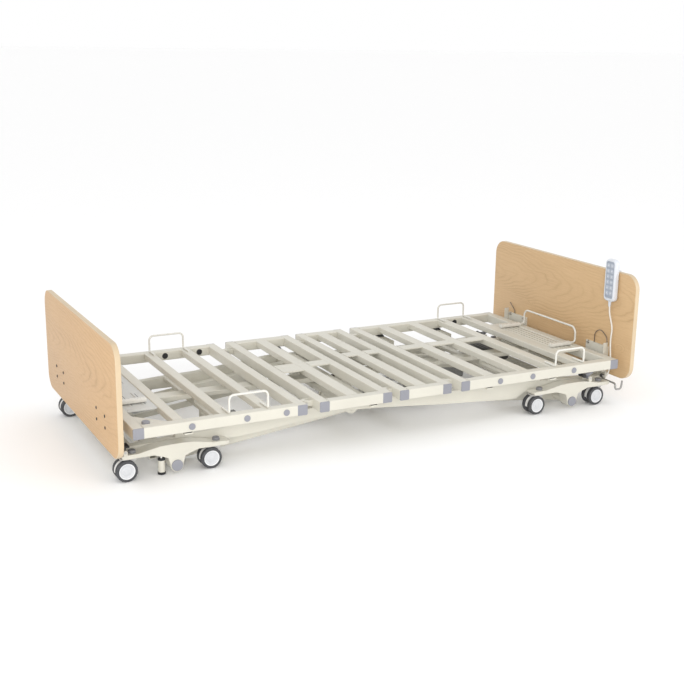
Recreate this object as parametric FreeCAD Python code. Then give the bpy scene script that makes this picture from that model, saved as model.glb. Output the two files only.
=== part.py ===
"""Low hospital bed with a four-section profiling deck, two lifting legs and eight twin castors.

Frame: millimetres, +X towards the headboard, +Y to the bed's left side, +Z up.
The origin is on the floor at the middle of the bed, with the bed flat and fully lowered.
Each node is written to parts/NODE.step; a node may hold several separate solids.
"""
import FreeCAD, Part
import math
import os

V = FreeCAD.Vector
X_AXIS, Y_AXIS, Z_AXIS = V(1, 0, 0), V(0, 1, 0), V(0, 0, 1)
SIDES = (-1, 1)

# ---- overall and deck -------------------------------------------------------------------------
BED_HALF_LENGTH = 1075.0        # to the tips of screw heads and of the handset's hanger
BOARD_OUTER_X = 1073.0
BOARD_THICK = 19.0
BOARD_INNER_X = BOARD_OUTER_X - BOARD_THICK
BOARD_HALF_WIDTH = 487.0
BOARD_CORNER_R = 60.0
FOOTBOARD_Z = (103.0, 496.0)
HEADBOARD_Z = (110.0, 545.0)

DECK_HALF_WIDTH = 457.5
DECK_TOP = 202.0
TUBE = 38.0                     # square deck tube
TUBE_WALL = 2.0
TUBE_CORNER_R = 4.0
DECK_BOTTOM = DECK_TOP - TUBE
DECK_MID = DECK_TOP - TUBE / 2
INNER_HALF_WIDTH = DECK_HALF_WIDTH - TUBE
SLAT_HEIGHT = 25.0
SLAT_WIDTH = 38.0
WIDE_SLAT = 48.0
CAP_THICK = 3.0
CAP_DEPTH = 14.0

LEG_TUBES = (-996.0, -402.0)    # centres of the end tubes of each deck section
THIGH_TUBES = (-315.0, -60.0)
SEAT_TUBES = (12.0, 197.0)
BACK_TUBES = (279.0, 996.0)
LEG_SLATS = (-846.0, -680.0, -525.0)
THIGH_SLATS = (-185.0,)
SEAT_SLATS = (104.0,)
BACK_SLATS = (411.0, 568.0, 722.0, 852.0)
LEG_PLUGS = (-811.0, -612.0, -464.0)    # round side plugs over the sockets for width extensions
BACK_PLUGS = (437.0, 590.0, 791.0)
PLUG_R = 11.5
PLUG_HOLE_R = 9.0
PLUG_THICK = 2.0
PLUG_DEPTH = 6.0

KNEE_X = -358.5                 # deck hinge axes, at the mid-height of the tubes
THIGH_HINGE_X = -24.0
BACK_HINGE_X = 238.0
HINGE_Y = 380.0                 # middle of each deck hinge
HINGE_PIN_R = 5.0
HINGE_EYE_R = 10.0
HINGE_PIN_HALF = 17.0
INNER_EAR_HALF = 8.0
OUTER_EAR_OFFSET = 12.0
OUTER_EAR_THICK = 6.0
FLAT_BAR = 5.0                  # thickness of lengthways bars and gussets
CENTRE_BAR_Y = (45.0, 95.0)     # lengthways bars of the seat and back
THIGH_BAR_Y = ((-60.0, 40.0), (-20.0, 40.0))
PANEL_HALF_WIDTH = 262.0
PANEL_Z = (DECK_TOP - 7, DECK_TOP - 3)
PANEL_RIB = (5.0, 2.0, 60.0)    # half-width, height, distance from the sheet's ends
GUSSET_Z = 190.0
YOKE_HALF = 13.0
YOKE_DROP = 14.0                # below the deck tubes
RUN_CLEARANCE = 0.06            # radial clearance of every running fit

# ---- lifting linkage --------------------------------------------------------------------------
LEG_LENGTH = 720.0
FOOT_AXLE = (-848.0, 32.0)      # x, z
HEAD_AXLE_X = 836.0
PIVOT_Z = 118.0
LEG_SLOPE = math.asin((PIVOT_Z - FOOT_AXLE[1]) / LEG_LENGTH)
LEG_RUN = LEG_LENGTH * math.cos(LEG_SLOPE)
FOOT_PIVOT_X = FOOT_AXLE[0] + LEG_RUN
HEAD_PIVOT_X = HEAD_AXLE_X - LEG_RUN
AXLE_R = 19.0
AXLE_BORE = 15.5
LEG_ARM_Y = 282.0
LEG_ARM = (28.0, 50.0)          # width, height
LEG_WALL = 3.0
LIFT_ANGLE = math.radians(57.0)
LIFT_CRANK_R = 65.0
LIFT_CRANK_START = math.radians(240.0)
LINK_OFFSET = (40.0, 32.0)      # outward and up from axle and pivot, for the levelling links
LINK_Y = 50.0
LINK_HALF_THICK = 6.0
LINK_HEIGHT = 20.0
LINK_PIN_R = 6.0
LINK_SLACK = 0.5
LINK_EYE_R = 12.0

# ---- carriages and castors --------------------------------------------------------------------
BOGIE_Y = (354.0, 402.0)
BOGIE_MID_Y = sum(BOGIE_Y) / 2
BOGIE_BOTTOM = 80.0
BOGIE_WALL = 4.0
AXLE_LOBE_R = 23.0
BEAM_HALF = ((184, BOGIE_BOTTOM), (190, 84), (190, 92), (165, 94), (135, 94), (105, 100), (60, 108),
             (22, 110))
NECK_HALF = ((22, 34), (30, 62), (48, 70), (80, BOGIE_BOTTOM))      # offset from the axle, height
POCKET_HALF = ((0, 104), (58, 103), (100, 95), (100, 60), (27, 60), (27, 72), (0, 72))
STEM_OFFSET = 150.0
WHEEL_R = 37.5
HUB_R = 28.0
TYRE_WIDTH = 20.0
WHEEL_GAP = 14.0                # between the two tyres of a twin castor
TRAIL = 25.0
STEM_R = 6.0
STEM_LENGTH = 15.5
FORK_PLATE = (-44.0, 17.0, 19.0)                    # back and front from the stem, half-width
FORK_PLATE_Z = (2 * WHEEL_R + 1, BOGIE_BOTTOM - 0.5)
FORK_WEB = ((-36, WHEEL_R), (-36, 52), (-30, 76), (15, 76), (12, 64), (-16, 31))
FORK_BOSS_R = 11.0
WHEEL_AXLE_R = 4.0
WHEEL_AXLE_INSET = 4.0          # from the tyre's outer face to the axle's end
DISC_INSET = 2.0                # from the tyre's outer face to the hub disc
TYRE_SHOULDER = 4.0
CLEVIS_R = 9.0
CLEVIS_CHEEK = 6.0
AXLE_CAP = (20.0, 5.0)          # radius, thickness
STEM_CAP = (13.0, 94.0, 11.0)   # radius, bottom, thickness
STABILISER_X = FOOT_AXLE[0] - 48
STABILISER = ((14, 0, 9), (12, 9, 52), (13, 52, 59), (5, 59, 89))       # radius, bottom, top
FOOT_PEDAL = (-1026.0, 104.0)   # pin of each pedal and lever: x, z
HEAD_PEDAL = (926.0, 118.0)
LUG_THICK = 6.0
LUG_DROP = 15.0
PEDAL_HUB_R = 7.0
PEDAL_PIN_R = 4.0
PEDAL_Y = (BOGIE_Y[0] + LUG_THICK + 1, BOGIE_Y[1] - LUG_THICK - 1)
LEVER_BAR = ((-24, 6), (-24, 12), (0, 14), (26, 22), (26, 16), (5, -2), (-5, -2))       # from the pin
LEVER_HALF = 6.0
KNOB = (-24.0, 10.0, 9.0, 12.0)     # from the pin in x and z, radius, overhang on each side of the bar
TIE_X = (56.0, 82.0)            # carriage tie tube, outward from the axle
TIE_Z = (50.0, 76.0)

# ---- fixed frame ------------------------------------------------------------------------------
RAIL_Y = (316.0, 346.0)
RAIL_END = 1040.0
RAIL_SPLICES = (-620.0, 636.0)  # where the slim end lengths are welded to the arched main length
RAIL_WALL = 3.0
EAR_Y = (300.0, 316.0)
EAR_R = 27.0
EAR_TOP = 146.0
SPINE_X = ((-880.0, -105.0), (75.0, 880.0))
SPINE_FEET_X = ((-655.0, -625.0), (625.0, 655.0))
SPINE_FEET_Z = 124.0
SPINE_Y = (-40.0, 20.0)
SPINE_Z = (140.0, 160.0)
CROSS_TUBES = ((-1000.0, 86.0, 106.0), (-920.0, 86.0, 106.0), (-640.0, 108.0, 124.0),
               (-90.0, 128.0, 158.0), (60.0, 128.0, 150.0), (640.0, 108.0, 124.0),
               (1000.0, 86.0, 106.0))      # centre x, bottom z, top z
CROSS_WIDTH = 30.0
LIFT_TUBE_BOTTOM = 108.0        # of the cross tubes that carry the lift actuators' tails
BACK_TUBE_BOTTOM = 128.0        # and the back actuator's tail
POST_HALF = 15.0
PLATE = 5.0
PAD_PLACES = (-819.0, -108.0, 400.0, 700.0)
PAD_Y = (410.0, 446.0)
PAD_SEAT_Z = 157.5
PAD_POST_INSET = 10.0
PAD_HALF_LENGTH = 14.0
CONTROL_CASE = (660.0, 820.0, SPINE_Y[1], 150.0, 108.0, 156.0)
LID_INSET = 4.0
LID_THICK = 4.0
SOCKET_R = 8.0

# ---- actuators --------------------------------------------------------------------------------
CRANK_PIN_R = 6.0
CRANK_EYE_R = 13.0
LIFT_TAIL_X = 640.0
ROD_R = 10.0
ROD_FIT = 0.3                   # between rod and outer tube
ROD_KEPT = 25.0                 # of the shaft beyond its stroke
ROD_START = 22.0                # from the crank pin to the round shaft
ROD_SHOWS = 38.0                # from the crank pin to the outer tube when retracted
ROD_TONGUE = (24.0, 10.0)       # length from the pin, half-height
SLOT_PLATE = (15.0, 14.0)       # half-length, height past the pin
OUTER_TUBE_R = 15.0
ROD_END_HALF = 6.0
EAR_GAP = 1.0
EAR_THICK = 6.0
SLOT_PLAY = 1.3
TAIL_PIN_R = 5.0
TAIL_HALF = 9.0                 # half-thickness of an actuator's tail lug
BRACKET_HALF = 12.0
GEARBOX_GAP = 14.0              # from the tail pin to the gearmotor block
LIFT_BLOCK, BACK_BLOCK, KNEE_BLOCK = 120.0, 80.0, 90.0      # lengths of the gearmotor blocks
BLOCK_HALF = 32.0
BLOCK_Z = (-30.0, 26.0)         # below and above the tail pin
TAIL_R = 10.0
CAN_R, CAN_LENGTH = 21.0, 40.0
FOOT_LIFT_Y, HEAD_LIFT_Y, BACK_Y, KNEE_Y = -100.0, 110.0, 160.0, -60.0
BACK_ANGLE = math.radians(60.0)
BACK_CRANK_R = 118.0
THIGH_ANGLE = math.radians(35.0)
KNEE_CRANK_R = 108.0

# ---- trim -------------------------------------------------------------------------------------
BRACKET_Y = (214.0, 350.0)
BRACKET_BOTTOM = 88.0
BRACKET_TOP = 225.0
BRACKET_THICK = 8.0
SCREW_Y = (230.0, 334.0)
SCREW_Z = (178.0, 219.0)
SCREW_R = 3.0
SCREW_HOLE_R = 3.3
SCREW_HEAD_R = 5.5
NUT_R = 5.0
NUT_THICK = 5.0
WIRE_R = 4.0
RELEASE_WIRE_R = 1.75
HOOK_ROUTE = ((1034, -RAIL_Y[1], 89), (1034, -432, 89), (1032, -432, 64), (1064, -432, 64), (1068, -432, 98))
RETAINER_Y = 440.0
RETAINER_ROOT_Y = 372.0
RETAINER_TOP = 268.0
RETAINER_BEND = 18.0
LEG_LOOP_X = (-671.0, -527.0)
BACK_LOOP_X = (711.0, 850.0)
END_LOOP_Y = 182.0
END_LOOP_X = 1012.0
END_LOOP_TOP = 274.0
END_LOOP_ROOT = 890.0           # inner ends of its legs
END_LOOP_LIFT = 8.0             # of its legs over the deck
SOCKET_X = (884.0, 985.0)
SOCKET_HALF = 13.0
SOCKET_HEIGHT = 15.0
HANDSET_Y = -356.0
HANDSET_SIZE = (24.0, 64.0, 174.0)
HANDSET_BOTTOM = 422.0
HANGER_HALF = 14.0
RELIEF_LENGTH = 22.0
CORD_R = 3.25
CORD_EXIT_X = 1037.0


# ---- shape helpers ----------------------------------------------------------------------------
def box(x0, x1, y0, y1, z0, z1):
    return Part.makeBox(x1 - x0, y1 - y0, z1 - z0, V(x0, y0, z0))


def cylinder(radius, start, axis, length):
    return Part.makeCylinder(radius, length, V(*start), axis)


def cylinder_y(radius, x, z, y0, y1):
    return cylinder(radius, (x, y0, z), Y_AXIS, y1 - y0)


def ring(outer, inner, start, axis, length):
    return cylinder(outer, start, axis, length).cut(cylinder(inner, start, axis, length))


def prism_xz(points, y0, y1):
    """Closed outline in the XZ plane, extruded from y0 to y1."""
    wire = Part.makePolygon([V(x, y0, z) for x, z in list(points) + [points[0]]])
    return Part.Face(wire).extrude(V(0, y1 - y0, 0))


def prism_yz(points, x0, x1):
    wire = Part.makePolygon([V(x0, y, z) for y, z in list(points) + [points[0]]])
    return Part.Face(wire).extrude(V(x1 - x0, 0, 0))


def rounded_plate(y0, y1, z0, z1, x0, x1, radius):
    """A plate across X with its four corners rounded."""
    plate = box(x0, x1, y0, y1, z0, z1)
    corners = [e for e in plate.Edges if abs(e.tangentAt(e.FirstParameter).x) > 0.99]
    return plate.makeFillet(radius, corners)


def soft_box(x0, x1, y0, y1, z0, z1, radius, along):
    """A block whose edges along one axis are rounded."""
    block = box(x0, x1, y0, y1, z0, z1)
    edges = [e for e in block.Edges if abs(e.tangentAt(e.FirstParameter).dot(along)) > 0.99]
    return block.makeFillet(radius, edges)


def hollow(x0, x1, y0, y1, z0, z1, along, wall=TUBE_WALL, radius=TUBE_CORNER_R):
    """A rectangular tube with rounded outer corners, open at both ends along one axis."""
    outer = soft_box(x0, x1, y0, y1, z0, z1, radius, along)
    in_x = 0 if along.x else wall
    in_y = 0 if along.y else wall
    inner = box(x0 + in_x, x1 - in_x, y0 + in_y, y1 - in_y, z0 + wall, z1 - wall)
    return outer.cut(inner)


def fused(first, *others):
    return first.multiFuse(list(others)).removeSplitter() if others else first


def mirror_y(shape):
    return shape.mirror(V(0, 0, 0), Y_AXIS)


def both_sides(shapes):
    return list(shapes) + [mirror_y(s) for s in shapes]


def mirror_x(shape, about=0.0):
    return shape.mirror(V(about, 0, 0), X_AXIS)


def path_wire(points, radii):
    """Straight runs joined by tangent arcs; one radius for each inner point."""
    nodes = [V(*p) for p in points]
    edges, start = [], nodes[0]
    for before, corner, after, radius in zip(nodes, nodes[1:], nodes[2:], radii):
        inward = (corner - before).normalize()
        outward = (after - corner).normalize()
        turn = inward.getAngle(outward)
        reach = radius * math.tan(turn / 2)
        enter = corner - inward * reach
        leave = corner + outward * reach
        bisector = (outward - inward).normalize()
        middle = corner + bisector * (radius / math.cos(turn / 2) - radius)
        edges += [Part.LineSegment(start, enter).toShape(), Part.Arc(enter, middle, leave).toShape()]
        start = leave
    edges.append(Part.LineSegment(start, nodes[-1]).toShape())
    return Part.Wire(edges)


def bent_rod(points, rod_radius, bend_radius):
    """A round rod bent at each inner point."""
    path = path_wire(points, [bend_radius] * (len(points) - 2))
    direction = V(*points[1]) - V(*points[0])
    section = Part.Wire(Part.makeCircle(rod_radius, V(*points[0]), direction))
    return path.makePipeShell([section], True, True)


def export(name, shapes):
    solids = [solid for shape in shapes for solid in shape.Solids]
    for solid in solids:
        if not solid.isValid() or solid.Volume <= 0:
            raise ValueError(f"{name} holds a bad solid")
    Part.makeCompound(solids).exportStep(f"parts/{name}.step")
    print(f"{name}: {len(solids)} solids")


# ---- castors ----------------------------------------------------------------------------------
def castor_places():
    """Name and stem position of each of the eight castors."""
    for end, axle_x in (("foot", FOOT_AXLE[0]), ("head", HEAD_AXLE_X)):
        for side, sign in (("right", -1), ("left", 1)):
            for place, offset in (("outer", -STEM_OFFSET), ("inner", STEM_OFFSET)):
                offset = offset if end == "foot" else -offset
                yield f"{end}_{side}_{place}", axle_x + offset, sign * BOGIE_MID_Y


def castor_fork(x, y):
    """Stem, top plate and the web that runs down between the two wheels to their axle."""
    web_half = WHEEL_GAP / 2 - 1
    back, front, half = FORK_PLATE
    hub_x = x - TRAIL
    stem = cylinder(STEM_R, (x, y, FORK_PLATE_Z[0]), Z_AXIS, STEM_LENGTH)
    plate = soft_box(x + back, x + front, y - half, y + half, *FORK_PLATE_Z, 12, Z_AXIS)
    web = prism_xz([(x + dx, z) for dx, z in FORK_WEB], y - web_half, y + web_half)
    hub = cylinder_y(FORK_BOSS_R, hub_x, WHEEL_R, y - web_half, y + web_half)
    bore = cylinder_y(WHEEL_AXLE_R + RUN_CLEARANCE, hub_x, WHEEL_R, y - web_half, y + web_half)
    return [fused(plate, stem, web, hub).cut(bore)]


def castor_wheels(x, y):
    """Two tyres and, through them, one spool of two hub discs and their axle."""
    hub_x = x - TRAIL
    near, far = WHEEL_GAP / 2, WHEEL_GAP / 2 + TYRE_WIDTH
    tyres = []
    for sign in SIDES:
        low = y + (near if sign > 0 else -far)
        solid = cylinder_y(WHEEL_R, hub_x, WHEEL_R, low, low + TYRE_WIDTH)
        rims = [e for e in solid.Edges if e.Curve.TypeId == "Part::GeomCircle"]
        bore = cylinder_y(HUB_R, hub_x, WHEEL_R, low, low + TYRE_WIDTH)
        tyres.append(solid.makeFillet(TYRE_SHOULDER, rims).cut(bore))
    discs = [cylinder_y(HUB_R, hub_x, WHEEL_R, y + near, y + far - DISC_INSET),
             cylinder_y(HUB_R, hub_x, WHEEL_R, y - far + DISC_INSET, y - near)]
    axle_half = far - WHEEL_AXLE_INSET
    axle = cylinder_y(WHEEL_AXLE_R, hub_x, WHEEL_R, y - axle_half, y + axle_half)
    return tyres + [fused(discs[0], discs[1], axle)]


# ---- carriages --------------------------------------------------------------------------------
def symmetric(middle_x, half):
    """An outline from its right half, given from the bottom up as (offset, height)."""
    return [(middle_x + x, z) for x, z in half] + [(middle_x - x, z) for x, z in reversed(half)]


def bogie_arm(axle_x, pedal):
    """A crown-shaped beam over the castor stems with a pedal's lugs, and the neck that holds the axle."""
    axle_z = FOOT_AXLE[1]
    y0, y1 = BOGIE_Y
    beam = prism_xz(symmetric(axle_x, BEAM_HALF), y0, y1)
    neck = prism_xz(symmetric(axle_x, NECK_HALF), y0, y1)
    pockets = [prism_xz([(axle_x + s * x, z) for x, z in POCKET_HALF], y0 + BOGIE_WALL, y1 - BOGIE_WALL)
               for s in SIDES]
    beam = fused(beam.cut(fused(*pockets)), *pedal_lugs(*pedal))
    for sign in SIDES:
        stem = (axle_x + sign * STEM_OFFSET, BOGIE_MID_Y, BOGIE_BOTTOM)
        beam = beam.cut(cylinder(STEM_R + RUN_CLEARANCE, stem, Z_AXIS, 30))
    neck = fused(neck, cylinder_y(AXLE_LOBE_R, axle_x, axle_z, y0, y1)).cut(fused(*pockets))
    return [beam, neck.cut(cylinder_y(AXLE_R + RUN_CLEARANCE, axle_x, axle_z, y0, y1))]


def pedal_lugs(x, z):
    """Two lugs on top of a bogie arm that carry a pedal's pin."""
    lugs = []
    half = PEDAL_HUB_R
    for y0, y1 in ((BOGIE_Y[0], BOGIE_Y[0] + LUG_THICK), (BOGIE_Y[1] - LUG_THICK, BOGIE_Y[1])):
        lug = fused(box(x - half, x + half, y0, y1, z - LUG_DROP, z), cylinder_y(half, x, z, y0, y1))
        lugs.append(lug.cut(cylinder_y(PEDAL_PIN_R + RUN_CLEARANCE, x, z, y0, y1)))
    return lugs


def carriage(axle_x, outward, pedal):
    """Two bogie arms, the tie tube between them and the clevis for the levelling link."""
    y0 = BOGIE_Y[0]
    tie_x = sorted(axle_x + outward * x for x in TIE_X)
    tie = hollow(tie_x[0], tie_x[1], -y0, y0, TIE_Z[0], TIE_Z[1], Y_AXIS)
    pin_x, pin_z = axle_x + outward * LINK_OFFSET[0], FOOT_AXLE[1] + LINK_OFFSET[1]
    near_face = axle_x + outward * TIE_X[0]
    clevis = []
    gap = LINK_HALF_THICK + 1
    for low in (LINK_Y - gap - CLEVIS_CHEEK, LINK_Y + gap):
        high = low + CLEVIS_CHEEK
        cheek = box(*sorted((pin_x, near_face)), low, high, pin_z - CLEVIS_R, pin_z + CLEVIS_R)
        clevis.append(fused(cheek, cylinder_y(CLEVIS_R, pin_x, pin_z, low, high)))
    pin = cylinder_y(LINK_PIN_R, pin_x, pin_z, LINK_Y - gap, LINK_Y + gap)
    return both_sides(bogie_arm(axle_x, pedal)) + [tie, fused(clevis[0], clevis[1], pin)]


def carriage_caps(axle_x):
    """Round covers on the axle ends and over the castor stems."""
    radius, thick = AXLE_CAP
    hub = cylinder_y(radius, axle_x, FOOT_AXLE[1], BOGIE_Y[1], BOGIE_Y[1] + thick)
    hub = hub.makeFillet(2, [e for e in hub.Edges if e.CenterOfMass.y > BOGIE_Y[1] + thick - 1])
    stems = []
    radius, bottom, thick = STEM_CAP
    for sign in SIDES:
        cap = cylinder(radius, (axle_x + sign * STEM_OFFSET, BOGIE_MID_Y, bottom), Z_AXIS, thick)
        stems.append(cap.makeFillet(4, [e for e in cap.Edges if e.CenterOfMass.z > bottom + thick - 1]))
    return both_sides([hub] + stems)


def stabiliser_feet():
    """A post with a rubber tip and cap beside each end of the foot axle."""
    return both_sides([cylinder(radius, (STABILISER_X, BOGIE_MID_Y, bottom), Z_AXIS, top - bottom)
                       for radius, bottom, top in STABILISER])


def foot_pedals():
    """A rocker pad on a hub, one on each side, on one common axis."""
    x, z = FOOT_PEDAL
    y0, y1 = PEDAL_Y
    hub = cylinder_y(PEDAL_HUB_R, x, z, y0, y1)
    pin = cylinder_y(PEDAL_PIN_R, x, z, *BOGIE_Y)
    stalk = box(x - 5, x + 5, y0, y1, z, z + 14)
    pad = soft_box(x - 16, x + 16, y0 - 3, y1 + 3, z + 14, z + 23, 3, Y_AXIS)
    return both_sides([fused(hub, pin, stalk, pad)])


def head_levers():
    """A cranked lever with a round knob, one on each side, on one common axis."""
    x, z = HEAD_PEDAL
    y0, y1 = BOGIE_MID_Y - LEVER_HALF, BOGIE_MID_Y + LEVER_HALF
    hub = cylinder_y(PEDAL_HUB_R, x, z, *PEDAL_Y)
    pin = cylinder_y(PEDAL_PIN_R, x, z, *BOGIE_Y)
    bar = prism_xz([(x + dx, z + dz) for dx, dz in LEVER_BAR], y0, y1)
    knob_x, knob_z, radius, overhang = KNOB
    knob = cylinder_y(radius, x + knob_x, z + knob_z, y0 - overhang, y1 + overhang)
    return both_sides([fused(hub, pin, bar), knob.cut(fused(hub, bar))])


# ---- lifting legs and levelling links ---------------------------------------------------------
def turned(shape, x, z, angle):
    """Turn a shape about the Y axis through (x, z), anticlockwise when +X is right and +Z up."""
    copy = shape.copy()
    copy.rotate(V(x, 0, z), V(0, -1, 0), math.degrees(angle))
    return copy


def crank_ears(lane, root, root_r, pin):
    """Two cheeks from a round root to a pin, with the pin through them."""
    eye_r = CRANK_EYE_R
    (rx, rz), (px, pz) = root, pin
    length = math.hypot(px - rx, pz - rz)
    nx, nz = -(pz - rz) / length, (px - rx) / length
    parts = []
    for sign in SIDES:
        y0, y1 = sorted(lane + sign * d for d in (ROD_END_HALF + EAR_GAP, ROD_END_HALF + EAR_GAP + EAR_THICK))
        web = prism_xz([(rx + nx * root_r, rz + nz * root_r), (px + nx * eye_r, pz + nz * eye_r),
                        (px - nx * eye_r, pz - nz * eye_r), (rx - nx * root_r, rz - nz * root_r)], y0, y1)
        parts += [web, cylinder_y(eye_r, px, pz, y0, y1)]
    reach = ROD_END_HALF + EAR_GAP
    parts.append(cylinder_y(CRANK_PIN_R, px, pz, lane - reach, lane + reach))
    return parts


def lift_leg(lane):
    """Foot-end lifting leg: axle, two arms, torque tube at the upper pivot and the crank."""
    ax, az = FOOT_AXLE
    px, pz = FOOT_PIVOT_X, PIVOT_Z
    half_w, half_h = LEG_ARM[0] / 2, LEG_ARM[1] / 2
    y0, y1 = LEG_ARM_Y - half_w, LEG_ARM_Y + half_w
    flat = hollow(ax, ax + LEG_LENGTH, y0, y1, az - half_h, az + half_h, X_AXIS, LEG_WALL)
    arm = turned(flat, ax, az, LEG_SLOPE)
    ends = [cylinder_y(half_h, ax, az, y0, y1), cylinder_y(half_h, px, pz, y0, y1)]
    arm = fused(arm, *ends)
    torque_end = EAR_Y[1] - 0.5
    passages = fused(cylinder_y(AXLE_R, ax, az, y0, y1), cylinder_y(AXLE_R, px, pz, y0, y1))
    arm = arm.cut(passages)
    axle_end = BOGIE_Y[1] - 0.5
    axle = ring(AXLE_R, AXLE_BORE, (ax, -axle_end, az), Y_AXIS, 2 * axle_end)
    torque = ring(AXLE_R, AXLE_BORE, (px, -torque_end, pz), Y_AXIS, 2 * torque_end)
    pin = (px + LIFT_CRANK_R * math.cos(LIFT_CRANK_START), pz + LIFT_CRANK_R * math.sin(LIFT_CRANK_START))
    crank = fused(*crank_ears(lane, (px, pz), AXLE_R, pin))
    crank = crank.cut(cylinder_y(AXLE_R, px, pz, -torque_end, torque_end))
    return both_sides([arm]) + [axle, torque, crank]


def level_link(axle_x, pivot_x, outward):
    """Parallel bar that keeps a carriage level; its lower eye has a little slack."""
    low = (axle_x + outward * LINK_OFFSET[0], FOOT_AXLE[1] + LINK_OFFSET[1])
    high = (pivot_x + outward * LINK_OFFSET[0], PIVOT_Z + LINK_OFFSET[1])
    y0, y1 = LINK_Y - LINK_HALF_THICK, LINK_Y + LINK_HALF_THICK
    slope = LEG_SLOPE if outward < 0 else math.pi - LEG_SLOPE
    bar = box(low[0], low[0] + LEG_LENGTH, y0, y1, low[1] - LINK_HEIGHT / 2, low[1] + LINK_HEIGHT / 2)
    bar = turned(bar, low[0], low[1], slope)
    eyes = [cylinder_y(LINK_EYE_R, low[0], low[1], y0, y1), cylinder_y(LINK_EYE_R, high[0], high[1], y0, y1)]
    body = fused(bar, *eyes)
    body = body.cut(cylinder_y(LINK_PIN_R + LINK_SLACK, low[0], low[1], y0, y1))
    return [body.cut(cylinder_y(LINK_PIN_R + RUN_CLEARANCE, high[0], high[1], y0, y1))]


# ---- fixed frame ------------------------------------------------------------------------------
RAIL_LOWER = ((-RAIL_END, 84), (-620, 80), (-518, 85), (-361, 101), (-252, 110), (-141, 115), (-27, 108),
              (58, 101), (237, 84), (420, 71), (560, 60), (600, 60), (636, 80), (RAIL_END, 84))
RAIL_UPPER = ((-RAIL_END, 102), (-885, 108), (-804, 116), (-661, 124), (-518, 128), (-361, 142), (-200, 157),
              (-141, 158), (30, 152), (237, 134), (420, 128), (640, 124), (885, 110), (RAIL_END, 102))


def rail_top(x):
    """Height of the arched rail's upper edge at x."""
    for (x0, z0), (x1, z1) in zip(RAIL_UPPER, RAIL_UPPER[1:]):
        if x0 <= x <= x1:
            return z0 + (z1 - z0) * (x - x0) / (x1 - x0)
    raise ValueError("outside the rail")


def side_rails():
    """Two arched box-section rails with the ears that carry the legs' upper pivots."""
    outer = prism_xz(list(RAIL_LOWER) + list(reversed(RAIL_UPPER)), *RAIL_Y)
    past_end = 1.01
    low = [(x * past_end if abs(x) == RAIL_END else x, z + RAIL_WALL) for x, z in RAIL_LOWER]
    high = [(x * past_end if abs(x) == RAIL_END else x, z - RAIL_WALL) for x, z in RAIL_UPPER]
    rail = outer.cut(prism_xz(low + high[::-1], RAIL_Y[0] + RAIL_WALL, RAIL_Y[1] - RAIL_WALL))
    cuts = (-RAIL_END, *RAIL_SPLICES, RAIL_END)
    lengths = [rail.common(box(x0, x1, *RAIL_Y, 0, DECK_TOP)) for x0, x1 in zip(cuts, cuts[1:])]
    ears = []
    for x in (FOOT_PIVOT_X, HEAD_PIVOT_X):
        plate = box(x - EAR_R, x + EAR_R, *EAR_Y, PIVOT_Z, EAR_TOP)
        ear = fused(plate, cylinder_y(EAR_R, x, PIVOT_Z, *EAR_Y))
        ears.append(ear.cut(cylinder_y(AXLE_R + RUN_CLEARANCE, x, PIVOT_Z, *EAR_Y)))
    return both_sides(lengths + ears)


def rail_post(x, top, y0):
    """A short post that stands on a rail's sloping upper edge."""
    x0, x1 = x - POST_HALF, x + POST_HALF
    return prism_xz([(x0, rail_top(x0)), (x1, rail_top(x1)), (x1, top), (x0, top)], y0, RAIL_Y[1])


def tail_bracket(lane, x, z, top):
    """Two hanging cheeks with a pin, for the tail of an actuator."""
    x0, x1 = x - BRACKET_HALF, x + BRACKET_HALF
    inner, outer = TAIL_HALF + 2, TAIL_HALF + 2 + EAR_THICK
    parts = []
    for sign in SIDES:
        y0, y1 = sorted((lane + sign * inner, lane + sign * outer))
        parts += [box(x0, x1, y0, y1, z, top), cylinder_y(BRACKET_HALF, x, z, y0, y1)]
    parts += [box(x0, x1, lane - outer, lane + outer, top - EAR_THICK, top),
              cylinder_y(TAIL_PIN_R, x, z, lane - inner, lane + inner)]
    return fused(*parts)


def cross_members():
    """Cross tubes, the central spine, seat posts, pad brackets, board uprights and tail brackets."""
    inner = RAIL_Y[0]
    parts = [hollow(x - CROSS_WIDTH / 2, x + CROSS_WIDTH / 2, -inner, inner, z0, z1, Y_AXIS)
             for x, z0, z1 in CROSS_TUBES]
    parts += [hollow(*ends, *SPINE_Y, *SPINE_Z, X_AXIS) for ends in SPINE_X]
    parts += [box(*ends, *SPINE_Y, SPINE_FEET_Z, SPINE_Z[0]) for ends in SPINE_FEET_X]
    for x in SEAT_TUBES:
        parts += both_sides([rail_post(x, DECK_BOTTOM, RAIL_Y[0])])
    for x in PAD_PLACES:
        tongue = box(x - POST_HALF, x + POST_HALF, RAIL_Y[1], PAD_Y[1], PAD_SEAT_Z - PLATE, PAD_SEAT_Z)
        parts += both_sides([fused(rail_post(x, PAD_SEAT_Z, RAIL_Y[0] + PAD_POST_INSET), tongue)])
    for pin_x in (FOOT_PIVOT_X - LINK_OFFSET[0], HEAD_PIVOT_X + LINK_OFFSET[0]):
        pin_end = LINK_Y + LINK_HALF_THICK + 4
        parts.append(cylinder_y(LINK_PIN_R, pin_x, PIVOT_Z + LINK_OFFSET[1], SPINE_Y[1], pin_end))
    parts += [tail_bracket(FOOT_LIFT_Y, -LIFT_TAIL_X, LIFT_TAIL_Z, LIFT_TUBE_BOTTOM),
              tail_bracket(HEAD_LIFT_Y, LIFT_TAIL_X, LIFT_TAIL_Z, LIFT_TUBE_BOTTOM),
              tail_bracket(BACK_Y, *BACK_TAIL, BACK_TUBE_BOTTOM)]
    x, z = KNEE_TAIL
    top = SPINE_Z[0]
    under_spine = box(x - BRACKET_HALF, x + BRACKET_HALF, KNEE_Y, SPINE_Y[1], top - EAR_THICK, top)
    parts.append(fused(tail_bracket(KNEE_Y, x, z, top), under_spine))
    return parts


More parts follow.
